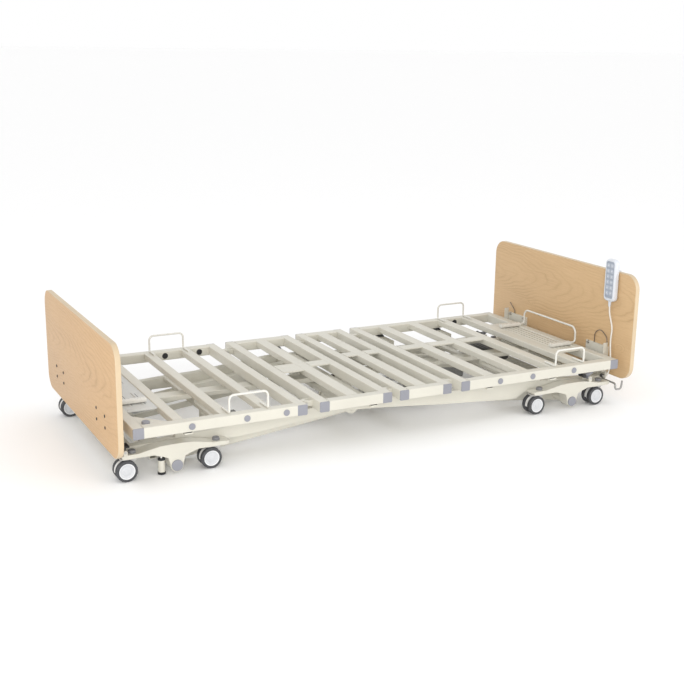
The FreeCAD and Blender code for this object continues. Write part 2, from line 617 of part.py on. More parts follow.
def rest_pads():
    """Rubber pads on which the moving deck sections rest."""
    pads = [soft_box(x - PAD_HALF_LENGTH, x + PAD_HALF_LENGTH, PAD_Y[0], PAD_Y[1] - 2,
                     PAD_SEAT_Z, DECK_BOTTOM - 0.5, 4, Z_AXIS) for x in PAD_PLACES]
    return both_sides(pads)


def control_box():
    """Control box beside the spine, and the socket on the right rail that takes the handset cord."""
    x0, x1, y0, y1, z0, z1 = CONTROL_CASE
    case = soft_box(x0, x1, y0, y1, z0, z1, 8, Z_AXIS)
    inset = LID_INSET
    lid = soft_box(x0 + inset, x1 - inset, y0 + inset, y1 - inset, z0 - LID_THICK, z0, 6, Z_AXIS)
    socket = cylinder(SOCKET_R, CORD_ROUTE[-1], Y_AXIS, -RAIL_Y[1] - CORD_ROUTE[-1][1])
    return [case, lid, socket]


# ---- actuators --------------------------------------------------------------------------------
LIFT_PIN = (FOOT_PIVOT_X + LIFT_CRANK_R * math.cos(LIFT_CRANK_START),
            PIVOT_Z + LIFT_CRANK_R * math.sin(LIFT_CRANK_START))
LIFT_TAIL_Z = LIFT_PIN[1]
BACK_PIN = (BACK_HINGE_X - BACK_CRANK_R * math.sin(BACK_ANGLE / 2),
            DECK_MID - BACK_CRANK_R * math.cos(BACK_ANGLE / 2))
BACK_TAIL = (-90.0, BACK_PIN[1])
KNEE_PIN = (THIGH_HINGE_X + KNEE_CRANK_R * math.sin(THIGH_ANGLE / 2),
            DECK_MID - KNEE_CRANK_R * math.cos(THIGH_ANGLE / 2))
KNEE_TAIL = (340.0, KNEE_PIN[1])


def sagitta(radius, angle):
    return radius * (1 - math.cos(angle / 2))


def motor(lane, tail, pin_x, motor_length, stroke):
    """Gearmotor block with its motor can, tail lug and outer tube along X."""
    tx, z = tail
    way = 1 if pin_x > tx else -1
    side = 1 if lane > 0 else -1
    block = tx + way * GEARBOX_GAP
    start = block + way * motor_length
    tube_end = pin_x - way * ROD_SHOWS
    case = soft_box(min(block, start), max(block, start), lane - BLOCK_HALF, lane + BLOCK_HALF,
                    z + BLOCK_Z[0], z + BLOCK_Z[1], 9, X_AXIS)
    can = cylinder(CAN_R, ((block + start) / 2, lane + side * BLOCK_HALF, z), Y_AXIS * side, CAN_LENGTH)
    lug_y = (lane - TAIL_HALF, lane + TAIL_HALF)
    neck = box(min(tx, block), max(tx, block), *lug_y, z - TAIL_R, z + TAIL_R)
    lug = fused(neck, cylinder_y(TAIL_R, tx, z, *lug_y))
    lug = lug.cut(cylinder_y(TAIL_PIN_R, tx, z, *lug_y))
    length = abs(tube_end - start)
    tube = cylinder(OUTER_TUBE_R, (start, lane, z), V(way, 0, 0), length)
    bore_start = tube_end - way * min(length - 4, stroke + 30)
    bore = cylinder(ROD_R + ROD_FIT, (bore_start, lane, z), V(way, 0, 0), abs(tube_end - bore_start) + 1)
    return [fused(case, can), lug, tube.cut(bore)]


def rod(lane, pin, way, drop, stroke):
    """Steel rod with a slotted end plate round the crank pin; the slot lets the pin dip by drop."""
    pin_x, z = pin
    inside = stroke + ROD_KEPT
    y0, y1 = lane - ROD_END_HALF, lane + ROD_END_HALF
    shaft = cylinder(ROD_R, (pin_x - way * (ROD_START + inside), lane, z), V(way, 0, 0), inside)
    length, half = ROD_TONGUE
    tongue_x = sorted((pin_x - way * length, pin_x))
    tongue = box(*tongue_x, y0, y1, z - half, z + half)
    half, past = SLOT_PLATE
    plate = soft_box(pin_x - half, pin_x + half, y0, y1, z - drop - past, z + past, 5, Y_AXIS)
    slot_r = CRANK_PIN_R + SLOT_PLAY
    slot = fused(cylinder_y(slot_r, pin_x, z, y0 - 1, y1 + 1),
                 cylinder_y(slot_r, pin_x, z - drop, y0 - 1, y1 + 1),
                 box(pin_x - slot_r, pin_x + slot_r, y0 - 1, y1 + 1, z - drop, z))
    return [fused(shaft, tongue, plate).cut(slot)]


# ---- deck sections ----------------------------------------------------------------------------
def section_frame(tubes, slats, slat_width, plugs):
    """Two cross tubes, two side tubes between them, slats flush with the top."""
    first, last = tubes[0] + TUBE / 2, tubes[1] - TUBE / 2
    tube_end = DECK_HALF_WIDTH - CAP_THICK
    half = TUBE / 2
    parts = [hollow(x - half, x + half, -tube_end, tube_end, DECK_BOTTOM, DECK_TOP, Y_AXIS) for x in tubes]
    side = hollow(first, last, INNER_HALF_WIDTH, DECK_HALF_WIDTH, DECK_BOTTOM, DECK_TOP, X_AXIS)
    for x in plugs:
        side = side.cut(cylinder_y(PLUG_HOLE_R, x, DECK_MID, INNER_HALF_WIDTH - 1, DECK_HALF_WIDTH + 1))
    parts += both_sides([side])
    parts += [hollow(x - slat_width / 2, x + slat_width / 2, -INNER_HALF_WIDTH, INNER_HALF_WIDTH,
                     DECK_TOP - SLAT_HEIGHT, DECK_TOP, Y_AXIS) for x in slats]
    return parts


def section_caps(tubes, plugs):
    """Square end caps of the cross tubes, and round plugs over the side sockets."""
    caps = []
    for x in tubes:
        plug = box(x - TUBE / 2 + TUBE_WALL, x + TUBE / 2 - TUBE_WALL, DECK_HALF_WIDTH - CAP_DEPTH,
                   DECK_HALF_WIDTH - CAP_THICK, DECK_BOTTOM + TUBE_WALL, DECK_TOP - TUBE_WALL)
        lid = soft_box(x - TUBE / 2, x + TUBE / 2, DECK_HALF_WIDTH - CAP_THICK, DECK_HALF_WIDTH,
                       DECK_BOTTOM, DECK_TOP, TUBE_CORNER_R, Y_AXIS)
        caps.append(fused(lid, plug))
    for x in plugs:
        disc = cylinder_y(PLUG_R, x, DECK_MID, DECK_HALF_WIDTH, DECK_HALF_WIDTH + PLUG_THICK)
        shank = cylinder_y(PLUG_HOLE_R, x, DECK_MID, DECK_HALF_WIDTH - PLUG_DEPTH, DECK_HALF_WIDTH)
        caps.append(fused(disc, shank))
    return both_sides(caps)


def hinge_ear(tube_face, hinge_x, y0, y1, pin_bore):
    """A lug from a cross tube's face to a hinge axis."""
    x0, x1 = sorted((tube_face, hinge_x))
    lug = fused(box(x0, x1, y0, y1, DECK_MID - HINGE_EYE_R, DECK_MID + HINGE_EYE_R),
                cylinder_y(HINGE_EYE_R, hinge_x, DECK_MID, y0, y1))
    return lug.cut(cylinder_y(pin_bore, hinge_x, DECK_MID, y0, y1))


def inner_ears(tube_face, hinge_x):
    """The moving half of a hinge: one lug that turns on the pin."""
    y0, y1 = HINGE_Y - INNER_EAR_HALF, HINGE_Y + INNER_EAR_HALF
    ear = hinge_ear(tube_face, hinge_x, y0, y1, HINGE_PIN_R + RUN_CLEARANCE)
    return both_sides([ear])


def outer_ears(tube_face, hinge_x):
    """The carrying half of a hinge: two lugs that hold the pin."""
    half = OUTER_EAR_THICK / 2
    middles = [HINGE_Y + side * OUTER_EAR_OFFSET for side in SIDES]
    return both_sides([hinge_ear(tube_face, hinge_x, y - half, y + half, HINGE_PIN_R) for y in middles])


def hinge_pins(hinge_xs):
    y0, y1 = HINGE_Y - HINGE_PIN_HALF, HINGE_Y + HINGE_PIN_HALF
    return both_sides([cylinder_y(HINGE_PIN_R, x, DECK_MID, y0, y1) for x in hinge_xs])


def flat_bar(x0, x1, y0, y1):
    """A thin lengthways bar between cross members, flush with the deck's top."""
    return box(x0, x1, y0, y1, DECK_TOP - FLAT_BAR, DECK_TOP)


def yoke(x0, x1, lane, root, root_r, pin):
    """A block under a cross tube with the crank ears that hang from it."""
    block = box(x0, x1, lane - YOKE_HALF, lane + YOKE_HALF, DECK_BOTTOM - YOKE_DROP, DECK_BOTTOM)
    return fused(block, *crank_ears(lane, root, root_r, pin))


def leg_section():
    parts = section_frame(LEG_TUBES, LEG_SLATS, SLAT_WIDTH, LEG_PLUGS)
    parts += inner_ears(LEG_TUBES[1] + TUBE / 2, KNEE_X)
    end = LEG_TUBES[0] + TUBE / 2
    edge = LEG_SLATS[0] - SLAT_WIDTH / 2
    corner = V(end, -INNER_HALF_WIDTH, GUSSET_Z)
    gusset = Part.makePolygon([corner, V(edge, -INNER_HALF_WIDTH, GUSSET_Z), V(end, -300, GUSSET_Z), corner])
    parts += both_sides([Part.Face(gusset).extrude(V(0, 0, FLAT_BAR))])
    return parts


def thigh_section():
    parts = section_frame(THIGH_TUBES, THIGH_SLATS, WIDE_SLAT, ())
    parts += outer_ears(THIGH_TUBES[0] - TUBE / 2, KNEE_X)
    parts += inner_ears(THIGH_TUBES[1] + TUBE / 2, THIGH_HINGE_X)
    slat0, slat1 = THIGH_SLATS[0] - WIDE_SLAT / 2, THIGH_SLATS[0] + WIDE_SLAT / 2
    parts.append(flat_bar(THIGH_TUBES[0] + TUBE / 2, slat0, *THIGH_BAR_Y[0]))
    parts.append(flat_bar(slat1, THIGH_TUBES[1] - TUBE / 2, *THIGH_BAR_Y[1]))
    x = THIGH_TUBES[1]
    parts.append(yoke(x - 9, x + 18, KNEE_Y, (x + 8, DECK_BOTTOM - 12), 9, KNEE_PIN))
    return parts


def seat_section():
    parts = section_frame(SEAT_TUBES, SEAT_SLATS, WIDE_SLAT, ())
    parts += outer_ears(SEAT_TUBES[0] - TUBE / 2, THIGH_HINGE_X)
    parts += outer_ears(SEAT_TUBES[1] + TUBE / 2, BACK_HINGE_X)
    mid0, mid1 = SEAT_SLATS[0] - WIDE_SLAT / 2, SEAT_SLATS[0] + WIDE_SLAT / 2
    parts.append(flat_bar(SEAT_TUBES[0] + TUBE / 2, mid0, *CENTRE_BAR_Y))
    parts.append(flat_bar(mid1, SEAT_TUBES[1] - TUBE / 2, *CENTRE_BAR_Y))
    return parts


def back_section():
    parts = section_frame(BACK_TUBES, BACK_SLATS, WIDE_SLAT, BACK_PLUGS)
    parts += inner_ears(BACK_TUBES[0] - TUBE / 2, BACK_HINGE_X)
    half = WIDE_SLAT / 2
    faces = [(BACK_TUBES[0] + TUBE / 2, BACK_SLATS[0] - half)]
    faces += [(a + half, b - half) for a, b in zip(BACK_SLATS[:2], BACK_SLATS[1:3])]
    parts += [flat_bar(x0, x1, *CENTRE_BAR_Y) for x0, x1 in faces]
    x = BACK_TUBES[0]
    parts.append(yoke(x - 16, x + 14, BACK_Y, (x - 4, DECK_BOTTOM - 12), 11, BACK_PIN))
    return parts


def corner_knobs():
    """Round plugs on the gusset plates at the foot corners."""
    knob = cylinder(14, (LEG_TUBES[0] + 44, -395, 195), Z_AXIS, 9)
    return both_sides([knob.makeFillet(3, [e for e in knob.Edges if e.CenterOfMass.z > 203])])


def end_panel(x0, x1, ribs):
    """Sheet between the end tube and the last slat, with raised ribs across the bed."""
    sheet = soft_box(x0, x1, -PANEL_HALF_WIDTH, PANEL_HALF_WIDTH, *PANEL_Z, 8, Z_AXIS)
    half, height, inset = PANEL_RIB
    end = PANEL_HALF_WIDTH - inset
    top = PANEL_Z[1]
    raised = [soft_box(x - half, x + half, -end, end, top, top + height, 4, Z_AXIS) for x in ribs]
    return [fused(sheet, *raised)]


def foot_panel():
    x0, x1 = LEG_TUBES[0] + TUBE / 2, LEG_SLATS[0] - SLAT_WIDTH / 2
    return end_panel(x0, x1, (x0 + 40,))


def head_panel():
    x0, x1 = BACK_SLATS[3] + WIDE_SLAT / 2, BACK_TUBES[1] - TUBE / 2
    pitch = (x1 - x0) / 5
    return end_panel(x0, x1, [x0 + pitch * (i + 1) for i in range(4)])


# ---- boards, retainers, handset ---------------------------------------------------------------
def end_board(sign, z_range):
    """Laminated board with rounded corners and screw holes."""
    x0, x1 = sorted((sign * BOARD_INNER_X, sign * BOARD_OUTER_X))
    board = rounded_plate(-BOARD_HALF_WIDTH, BOARD_HALF_WIDTH, z_range[0], z_range[1], x0, x1, BOARD_CORNER_R)
    for y, z in screw_places():
        board = board.cut(cylinder(SCREW_HOLE_R, (x0, y, z), X_AXIS, BOARD_THICK))
    return [board]


def screw_places():
    return [(side * y, z) for side in SIDES for y in SCREW_Y for z in SCREW_Z]


def board_brackets():
    """Upright plates from the end cross tubes to the boards, with feet."""
    parts = []
    for sign in SIDES:
        outer = sign * BOARD_INNER_X
        inner = outer - sign * BRACKET_THICK
        foot_x = sorted((sign * (CROSS_TUBES[-1][0] + CROSS_WIDTH / 2), inner))
        plate_x = sorted((outer, inner))
        plate = box(*plate_x, *BRACKET_Y, BRACKET_BOTTOM, BRACKET_TOP)
        foot = box(*foot_x, BRACKET_Y[0], RAIL_Y[0] - 2, BRACKET_BOTTOM, BRACKET_BOTTOM + 12)
        bracket = fused(plate, foot)
        for y in SCREW_Y:
            for z in SCREW_Z:
                bracket = bracket.cut(cylinder(SCREW_HOLE_R, (plate_x[0], y, z), X_AXIS, BRACKET_THICK))
        parts += both_sides([bracket])
    return parts


def cord_hook():
    """Wire hook below the headboard's corner, on which the mains cord is hung up."""
    return [bent_rod(HOOK_ROUTE, WIRE_R, 11)]


def release_wires():
    """The headboard brackets' spring wires: a bow on the right, a single leaning finger on the left."""
    x = BOARD_INNER_X - BRACKET_THICK / 2
    bow = [(x, -262, BRACKET_TOP), (x, -262, 268), (x, -298, 290), (x, -340, 262), (x, -344, BRACKET_TOP)]
    finger = [(x, 308, BRACKET_TOP), (x, 308, 238), (x, 347, 270)]
    return [bent_rod(bow, RELEASE_WIRE_R, 30), bent_rod(finger, RELEASE_WIRE_R, 12)]


def board_screws():
    """Low-headed bolts through board and bracket, with nuts inside."""
    screws = []
    for sign in SIDES:
        for y, z in screw_places():
            start = (sign * BED_HALF_LENGTH, y, z)
            inward = V(-sign, 0, 0)
            head = cylinder(SCREW_HEAD_R, start, inward, BED_HALF_LENGTH - BOARD_OUTER_X)
            reach = BED_HALF_LENGTH - BOARD_INNER_X + BRACKET_THICK + NUT_THICK + 1
            shank = cylinder(SCREW_R, start, inward, reach)
            nut = cylinder(NUT_R, (sign * (BOARD_INNER_X - BRACKET_THICK), y, z), inward, NUT_THICK)
            screws.append(fused(head, shank, nut))
    return screws


def side_loop(xs, y_sign):
    """Upright wire loop whose two legs lie inboard along the slats."""
    z = DECK_TOP + WIRE_R
    points = [(xs[0], RETAINER_ROOT_Y, z), (xs[0], RETAINER_Y, z), (xs[0], RETAINER_Y, RETAINER_TOP),
              (xs[1], RETAINER_Y, RETAINER_TOP), (xs[1], RETAINER_Y, z), (xs[1], RETAINER_ROOT_Y, z)]
    radii = [6, RETAINER_BEND, RETAINER_BEND, 6]
    path = path_wire(points, radii)
    section = Part.Wire(Part.makeCircle(WIRE_R, V(*points[0]), Y_AXIS))
    loop = path.makePipeShell([section], True, True)
    return loop if y_sign > 0 else mirror_y(loop)


def end_loop(sign):
    """Wire loop across the end of the mattress, with its legs in two flat sockets."""
    z = DECK_TOP + END_LOOP_LIFT
    root = sign * END_LOOP_ROOT
    points = [(root, -END_LOOP_Y, z), (sign * END_LOOP_X, -END_LOOP_Y, z),
              (sign * END_LOOP_X, -END_LOOP_Y, END_LOOP_TOP), (sign * END_LOOP_X, END_LOOP_Y, END_LOOP_TOP),
              (sign * END_LOOP_X, END_LOOP_Y, z), (root, END_LOOP_Y, z)]
    path = path_wire(points, [10, 28, 28, 10])
    section = Part.Wire(Part.makeCircle(WIRE_R, V(*points[0]), X_AXIS))
    loop = path.makePipeShell([section], True, True)
    sockets = []
    for side in SIDES:
        x0, x1 = sorted(sign * x for x in SOCKET_X)
        y = side * END_LOOP_Y
        y0, y1 = y - SOCKET_HALF, y + SOCKET_HALF
        block = soft_box(x0, x1, y0, y1, DECK_TOP, DECK_TOP + SOCKET_HEIGHT, 5, X_AXIS)
        leg = (min(root, sign * END_LOOP_X), y, z)
        sockets.append(block.cut(cylinder(WIRE_R, leg, X_AXIS, END_LOOP_X - END_LOOP_ROOT)))
    return [loop] + sockets


def handset():
    """Handset shell with a hanger over the headboard's top edge."""
    depth, width, height = HANDSET_SIZE
    x1 = BOARD_INNER_X - 4
    y0, y1 = HANDSET_Y - width / 2, HANDSET_Y + width / 2
    shell = soft_box(x1 - depth, x1, y0, y1, HANDSET_BOTTOM, HANDSET_BOTTOM + height, 16, X_AXIS)
    recess = soft_box(x1 - depth, x1 - depth + 1.5, y0 + 8, y1 - 8, HANDSET_BOTTOM + 16,
                      HANDSET_BOTTOM + height - 10, 8, X_AXIS)
    top = HEADBOARD_Z[1]
    hanger_y = (HANDSET_Y - HANGER_HALF, HANDSET_Y + HANGER_HALF)
    arm = box(x1, BED_HALF_LENGTH, *hanger_y, top, top + 4)
    lip = box(BOARD_OUTER_X, BED_HALF_LENGTH, *hanger_y, top - 22, top)
    back = box(x1, BOARD_INNER_X, *hanger_y, top - 30, top)
    relief_end = (CORD_EXIT_X, HANDSET_Y, HANDSET_BOTTOM - RELIEF_LENGTH)
    relief = Part.makeCone(5, 7, RELIEF_LENGTH, V(*relief_end), Z_AXIS)
    bore = cylinder(CORD_R, relief_end, Z_AXIS, RELIEF_LENGTH)
    return [fused(shell.cut(recess), arm, lip, back), relief.cut(bore)], recess


CORD_ROUTE = ((CORD_EXIT_X, HANDSET_Y, HANDSET_BOTTOM), (CORD_EXIT_X, HANDSET_Y, 380), (1040, -366, 346),
              (1042, -378, 310), (1042, -372, 266), (1041, -376, 222), (1037, -386, 184), (1032, -391, 150),
              (1029, -387, 122), (1028, -375, 104), (1028, -358, 104))


def handset_cord():
    """The cord as straight runs with the largest tangent arcs that they allow."""
    runs = [(V(*b) - V(*a)).Length for a, b in zip(CORD_ROUTE, CORD_ROUTE[1:])]
    radii = []
    for i in range(1, len(CORD_ROUTE) - 1):
        before = V(*CORD_ROUTE[i]) - V(*CORD_ROUTE[i - 1])
        after = V(*CORD_ROUTE[i + 1]) - V(*CORD_ROUTE[i])
        radii.append(0.45 * min(runs[i - 1], runs[i]) / math.tan(before.getAngle(after) / 2))
    path = path_wire(CORD_ROUTE, radii)
    section = Part.Wire(Part.makeCircle(CORD_R, V(*CORD_ROUTE[0]), Z_AXIS))
    tube = path.makePipeShell([section], True, True)
    expected = math.pi * CORD_R ** 2 * path.Length
    print("cord runs", [round(r) for r in runs], "radii", [round(r) for r in radii],
          "length", round(path.Length), "volume ratio", round(tube.Volume / expected, 4))
    return [tube]


# ---- build ------------------------------------------------------------------------------------
def main():
    os.makedirs("parts", exist_ok=True)
    for name, x, y in castor_places():
        export(f"castor_fork_{name}", castor_fork(x, y))
        export(f"castor_wheels_{name}", castor_wheels(x, y))

    export("foot_carriage_frame", carriage(FOOT_AXLE[0], -1, FOOT_PEDAL))
    export("head_carriage_frame", carriage(HEAD_AXLE_X, 1, HEAD_PEDAL))
    export("foot_carriage_caps", carriage_caps(FOOT_AXLE[0]))
    export("head_carriage_caps", carriage_caps(HEAD_AXLE_X))
    export("stabiliser_feet", stabiliser_feet())
    export("foot_brake_pedals", foot_pedals())
    export("head_brake_levers", head_levers())

    mirror_plane = (FOOT_AXLE[0] + HEAD_AXLE_X) / 2
    export("foot_leg", lift_leg(FOOT_LIFT_Y))
    export("head_leg", [mirror_x(s, mirror_plane) for s in lift_leg(HEAD_LIFT_Y)])
    export("foot_level_link", level_link(FOOT_AXLE[0], FOOT_PIVOT_X, -1))
    export("head_level_link", level_link(HEAD_AXLE_X, HEAD_PIVOT_X, 1))

    export("main_frame", side_rails() + cross_members())
    export("rest_pads", rest_pads())
    export("control_box", control_box())

    lift_stroke = LIFT_CRANK_R * (math.cos(LIFT_CRANK_START + LIFT_ANGLE) - math.cos(LIFT_CRANK_START))
    back_stroke = 2 * BACK_CRANK_R * math.sin(BACK_ANGLE / 2)
    knee_stroke = 2 * KNEE_CRANK_R * math.sin(THIGH_ANGLE / 2)
    lift_drop = LIFT_CRANK_R * (1 + math.sin(LIFT_CRANK_START))
    head_pin_x = 2 * mirror_plane - LIFT_PIN[0]
    foot_tail, head_tail = (-LIFT_TAIL_X, LIFT_TAIL_Z), (LIFT_TAIL_X, LIFT_TAIL_Z)
    export("foot_lift_motor", motor(FOOT_LIFT_Y, foot_tail, LIFT_PIN[0], LIFT_BLOCK, lift_stroke))
    export("head_lift_motor", motor(HEAD_LIFT_Y, head_tail, head_pin_x, LIFT_BLOCK, lift_stroke))
    export("back_motor", motor(BACK_Y, BACK_TAIL, BACK_PIN[0], BACK_BLOCK, back_stroke))
    export("knee_motor", motor(KNEE_Y, KNEE_TAIL, KNEE_PIN[0], KNEE_BLOCK, knee_stroke))
    export("foot_lift_rod", rod(FOOT_LIFT_Y, LIFT_PIN, 1, lift_drop, lift_stroke))
    export("head_lift_rod", rod(HEAD_LIFT_Y, (head_pin_x, LIFT_TAIL_Z), -1, lift_drop, lift_stroke))
    export("back_rod", rod(BACK_Y, BACK_PIN, 1, sagitta(BACK_CRANK_R, BACK_ANGLE), back_stroke))
    export("knee_rod", rod(KNEE_Y, KNEE_PIN, -1, sagitta(KNEE_CRANK_R, THIGH_ANGLE), knee_stroke))
    print("strokes", round(lift_stroke, 2), round(back_stroke, 2), round(knee_stroke, 2))

    export("leg_section_frame", leg_section())
    export("thigh_section_frame", thigh_section())
    export("seat_section_frame", seat_section())
    export("back_section_frame", back_section())
    export("leg_section_caps", section_caps(LEG_TUBES, LEG_PLUGS) + corner_knobs())
    export("thigh_section_caps", section_caps(THIGH_TUBES, ()))
    export("seat_section_caps", section_caps(SEAT_TUBES, ()))
    export("back_section_caps", section_caps(BACK_TUBES, BACK_PLUGS))
    export("foot_panel", foot_panel())
    export("head_panel", head_panel())
    export("seat_hinge_pins", hinge_pins((THIGH_HINGE_X, BACK_HINGE_X)))
    export("knee_hinge_pins", hinge_pins((KNEE_X,)))

    export("headboard", end_board(1, HEADBOARD_Z))
    export("footboard", end_board(-1, FOOTBOARD_Z))
    export("board_brackets", board_brackets())
    export("bracket_wires", cord_hook() + release_wires())
    export("board_screws", board_screws())
    export("leg_retainers", [side_loop(LEG_LOOP_X, s) for s in SIDES] + end_loop(-1))
    export("back_retainers", [side_loop(BACK_LOOP_X, s) for s in SIDES] + end_loop(1))
    shell, keypad = handset()
    export("handset_body", shell)
    export("handset_keypad", [keypad])
    export("handset_cord", handset_cord())


main()
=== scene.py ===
"""Looks of the low hospital bed: materials, end boards, castors, handset, actuators and trim.

Metres, in the CAD frame: +X towards the headboard, +Y to the bed's left side, +Z up.
"""
import itertools
import math
import random

import bmesh
import bpy
from mathutils import Matrix, Vector


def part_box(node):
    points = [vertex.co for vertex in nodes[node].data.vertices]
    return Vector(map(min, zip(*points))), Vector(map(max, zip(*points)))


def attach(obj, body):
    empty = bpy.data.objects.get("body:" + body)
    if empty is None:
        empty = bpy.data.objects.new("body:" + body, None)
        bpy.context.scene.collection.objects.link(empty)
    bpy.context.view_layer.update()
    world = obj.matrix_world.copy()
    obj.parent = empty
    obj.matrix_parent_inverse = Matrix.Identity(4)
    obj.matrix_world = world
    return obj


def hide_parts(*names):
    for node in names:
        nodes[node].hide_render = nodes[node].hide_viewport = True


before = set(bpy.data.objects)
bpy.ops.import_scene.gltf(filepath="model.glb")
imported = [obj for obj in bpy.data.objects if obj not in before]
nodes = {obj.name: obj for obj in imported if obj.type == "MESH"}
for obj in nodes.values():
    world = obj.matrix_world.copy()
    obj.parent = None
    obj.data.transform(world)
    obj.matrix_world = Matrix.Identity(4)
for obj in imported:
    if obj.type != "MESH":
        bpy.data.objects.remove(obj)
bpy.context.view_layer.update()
SIDES = (-1, 1)


# ---- camera, light and floor ------------------------------------------------------------------
def camera():
    """Camera as in the photo, placed by its yaw, pitch and roll."""
    data = bpy.data.cameras.new("camera")
    data.lens, data.sensor_width = 59.0, 36.0
    obj = bpy.data.objects.new("camera", data)
    bpy.context.scene.collection.objects.link(obj)
    yaw, pitch, roll = (math.radians(a) for a in (27.36, 14.84, 0.74))
    ahead = Vector((math.sin(yaw) * math.cos(pitch), math.cos(yaw) * math.cos(pitch), -math.sin(pitch)))
    right = ahead.cross(Vector((0, 0, 1))).normalized()
    up = right.cross(ahead)
    right, up = (right * math.cos(roll) + up * math.sin(roll), up * math.cos(roll) - right * math.sin(roll))
    turn = Matrix((right, up, -ahead)).transposed().to_4x4()
    obj.matrix_world = Matrix.Translation((-2.002, -3.842, 1.424)) @ turn
    bpy.context.scene.camera = obj


def area_light(name, place, target, size, power, color=(1, 1, 1)):
    data = bpy.data.lights.new(name, "AREA")
    data.shape, data.size, data.energy, data.color = "DISK", size, power, color
    obj = bpy.data.objects.new(name, data)
    bpy.context.scene.collection.objects.link(obj)
    obj.location = place
    obj.rotation_euler = (Vector(target) - Vector(place)).to_track_quat("-Z", "Y").to_euler()


def studio():
    """White world and two soft lights from the camera's side."""
    scene = bpy.context.scene
    scene.view_settings.view_transform = "Standard"
    world = bpy.data.worlds.new("studio")
    scene.world = world
    world.use_nodes = True
    sky = world.node_tree.nodes["Background"]
    sky.inputs["Color"].default_value = (1.0, 1.0, 1.0, 1)
    sky.inputs["Strength"].default_value = 1.0
    area_light("key", (-3.0, -5.2, 1.9), (0, 0, 0.2), 2.4, 135, (1.0, 0.985, 0.96))
    area_light("side", (3.6, -4.4, 1.8), (0.4, 0, 0.2), 2.2, 45)


# ---- procedural materials ---------------------------------------------------------------------
class Shader:
    """One procedural material, built on object coordinates."""

    def __init__(self, name, roughness, metallic=0.0):
        self.mat = bpy.data.materials.new(name)
        self.mat.use_nodes = True
        self.tree = self.mat.node_tree
        self.bsdf = self.tree.nodes["Principled BSDF"]
        self.bsdf.inputs["Roughness"].default_value = roughness
        self.bsdf.inputs["Metallic"].default_value = metallic
        self.coords = self.add("ShaderNodeTexCoord").outputs["Object"]

    def put(self, socket, value):
        if isinstance(value, bpy.types.NodeSocket):
            self.tree.links.new(value, socket)
        elif hasattr(value, "__len__") and len(value) == 3 and socket.type == "RGBA":
            socket.default_value = (*value, 1)
        else:
            socket.default_value = value

    def add(self, kind, inputs=None, **settings):
        node = self.tree.nodes.new(kind)
        for key, value in settings.items():
            setattr(node, key, value)
        for key, value in (inputs or {}).items():
            self.put(node.inputs[key], value)
        return node

    def stretch(self, scale):
        return self.add("ShaderNodeMapping", {"Vector": self.coords, "Scale": scale}).outputs[0]

    def noise(self, scale, detail=2.0, vector=None, distortion=0.0):
        node = self.add("ShaderNodeTexNoise", {"Vector": vector or self.coords, "Scale": scale,
                                               "Detail": detail, "Distortion": distortion})
        return node.outputs["Fac"]

    def math(self, operation, first, second=0.0, third=0.0, clamp=False):
        node = self.add("ShaderNodeMath", {0: first, 1: second, 2: third}, operation=operation)
        node.use_clamp = clamp
        return node.outputs[0]

    def spread(self, value, low, high, out_low=0.0, out_high=1.0):
        node = self.add("ShaderNodeMapRange", {"Value": value, "From Min": low, "From Max": high,
                                               "To Min": out_low, "To Max": out_high}, clamp=True)
        return node.outputs[0]

    def ramp(self, value, stops):
        node = self.add("ShaderNodeValToRGB", {"Fac": value})
        elements = node.color_ramp.elements
        while len(elements) < len(stops):
            elements.new(0.5)
        for element, (place, color) in zip(elements, stops):
            element.position = place
            element.color = (*color, 1)
        return node.outputs["Color"]

    def mix(self, factor, first, second, mode="MIX"):
        node = self.add("ShaderNodeMix", data_type="RGBA", blend_type=mode)
        for index, value in ((0, factor), (6, first), (7, second)):
            self.put(node.inputs[index], value)
        return node.outputs[2]

    def bump(self, height, strength, depth):
        node = self.add("ShaderNodeBump", {"Height": height, "Strength": strength, "Distance": depth})
        if self.bsdf.inputs["Normal"].is_linked:
            self.put(node.inputs["Normal"], self.bsdf.inputs["Normal"].links[0].from_socket)
        self.put(self.bsdf.inputs["Normal"], node.outputs[0])

    def color(self, value):
        self.put(self.bsdf.inputs["Base Color"], value)

    def roughness(self, value):
        self.put(self.bsdf.inputs["Roughness"], value)


def shade(color, factor):
    return tuple(c * factor for c in color)


def coated(name, color, roughness=0.42, patch=0.05, peel=1400.0, depth=0.00006, coat=0.0, metallic=0.0):
    """Paint, powder coat or moulded plastic: fine surface texture, soft patches and faint specks."""
    s = Shader(name, roughness, metallic)
    cloud = s.noise(7.0, 4.0)
    fleck = s.noise(900.0, 1.0)
    base = s.mix(s.spread(cloud, 0.3, 0.7), shade(color, 1 - patch), shade(color, 1 + patch / 2))
    s.color(s.mix(s.spread(fleck, 0.62, 0.74, 0, 0.35), base, shade(color, 0.8)))
    s.roughness(s.spread(s.noise(60.0, 3.0), 0.3, 0.7, roughness - 0.06, roughness + 0.08))
    s.bump(s.noise(peel, 2.0), 0.35, depth)
    s.bsdf.inputs["Coat Weight"].default_value = coat
    s.bsdf.inputs["Coat Roughness"].default_value = 0.12
    return s.mat


def tyre_rubber():
    s = Shader("tyre_rubber", 0.62)
    base = s.mix(s.spread(s.noise(40.0, 4.0), 0.3, 0.7), (0.045, 0.046, 0.050), (0.075, 0.076, 0.082))
    s.color(s.mix(s.spread(s.noise(260.0, 2.0), 0.6, 0.75, 0, 0.5), base, (0.14, 0.14, 0.14)))
    s.bump(s.noise(1700.0, 2.0), 0.5, 0.00008)
    return s.mat


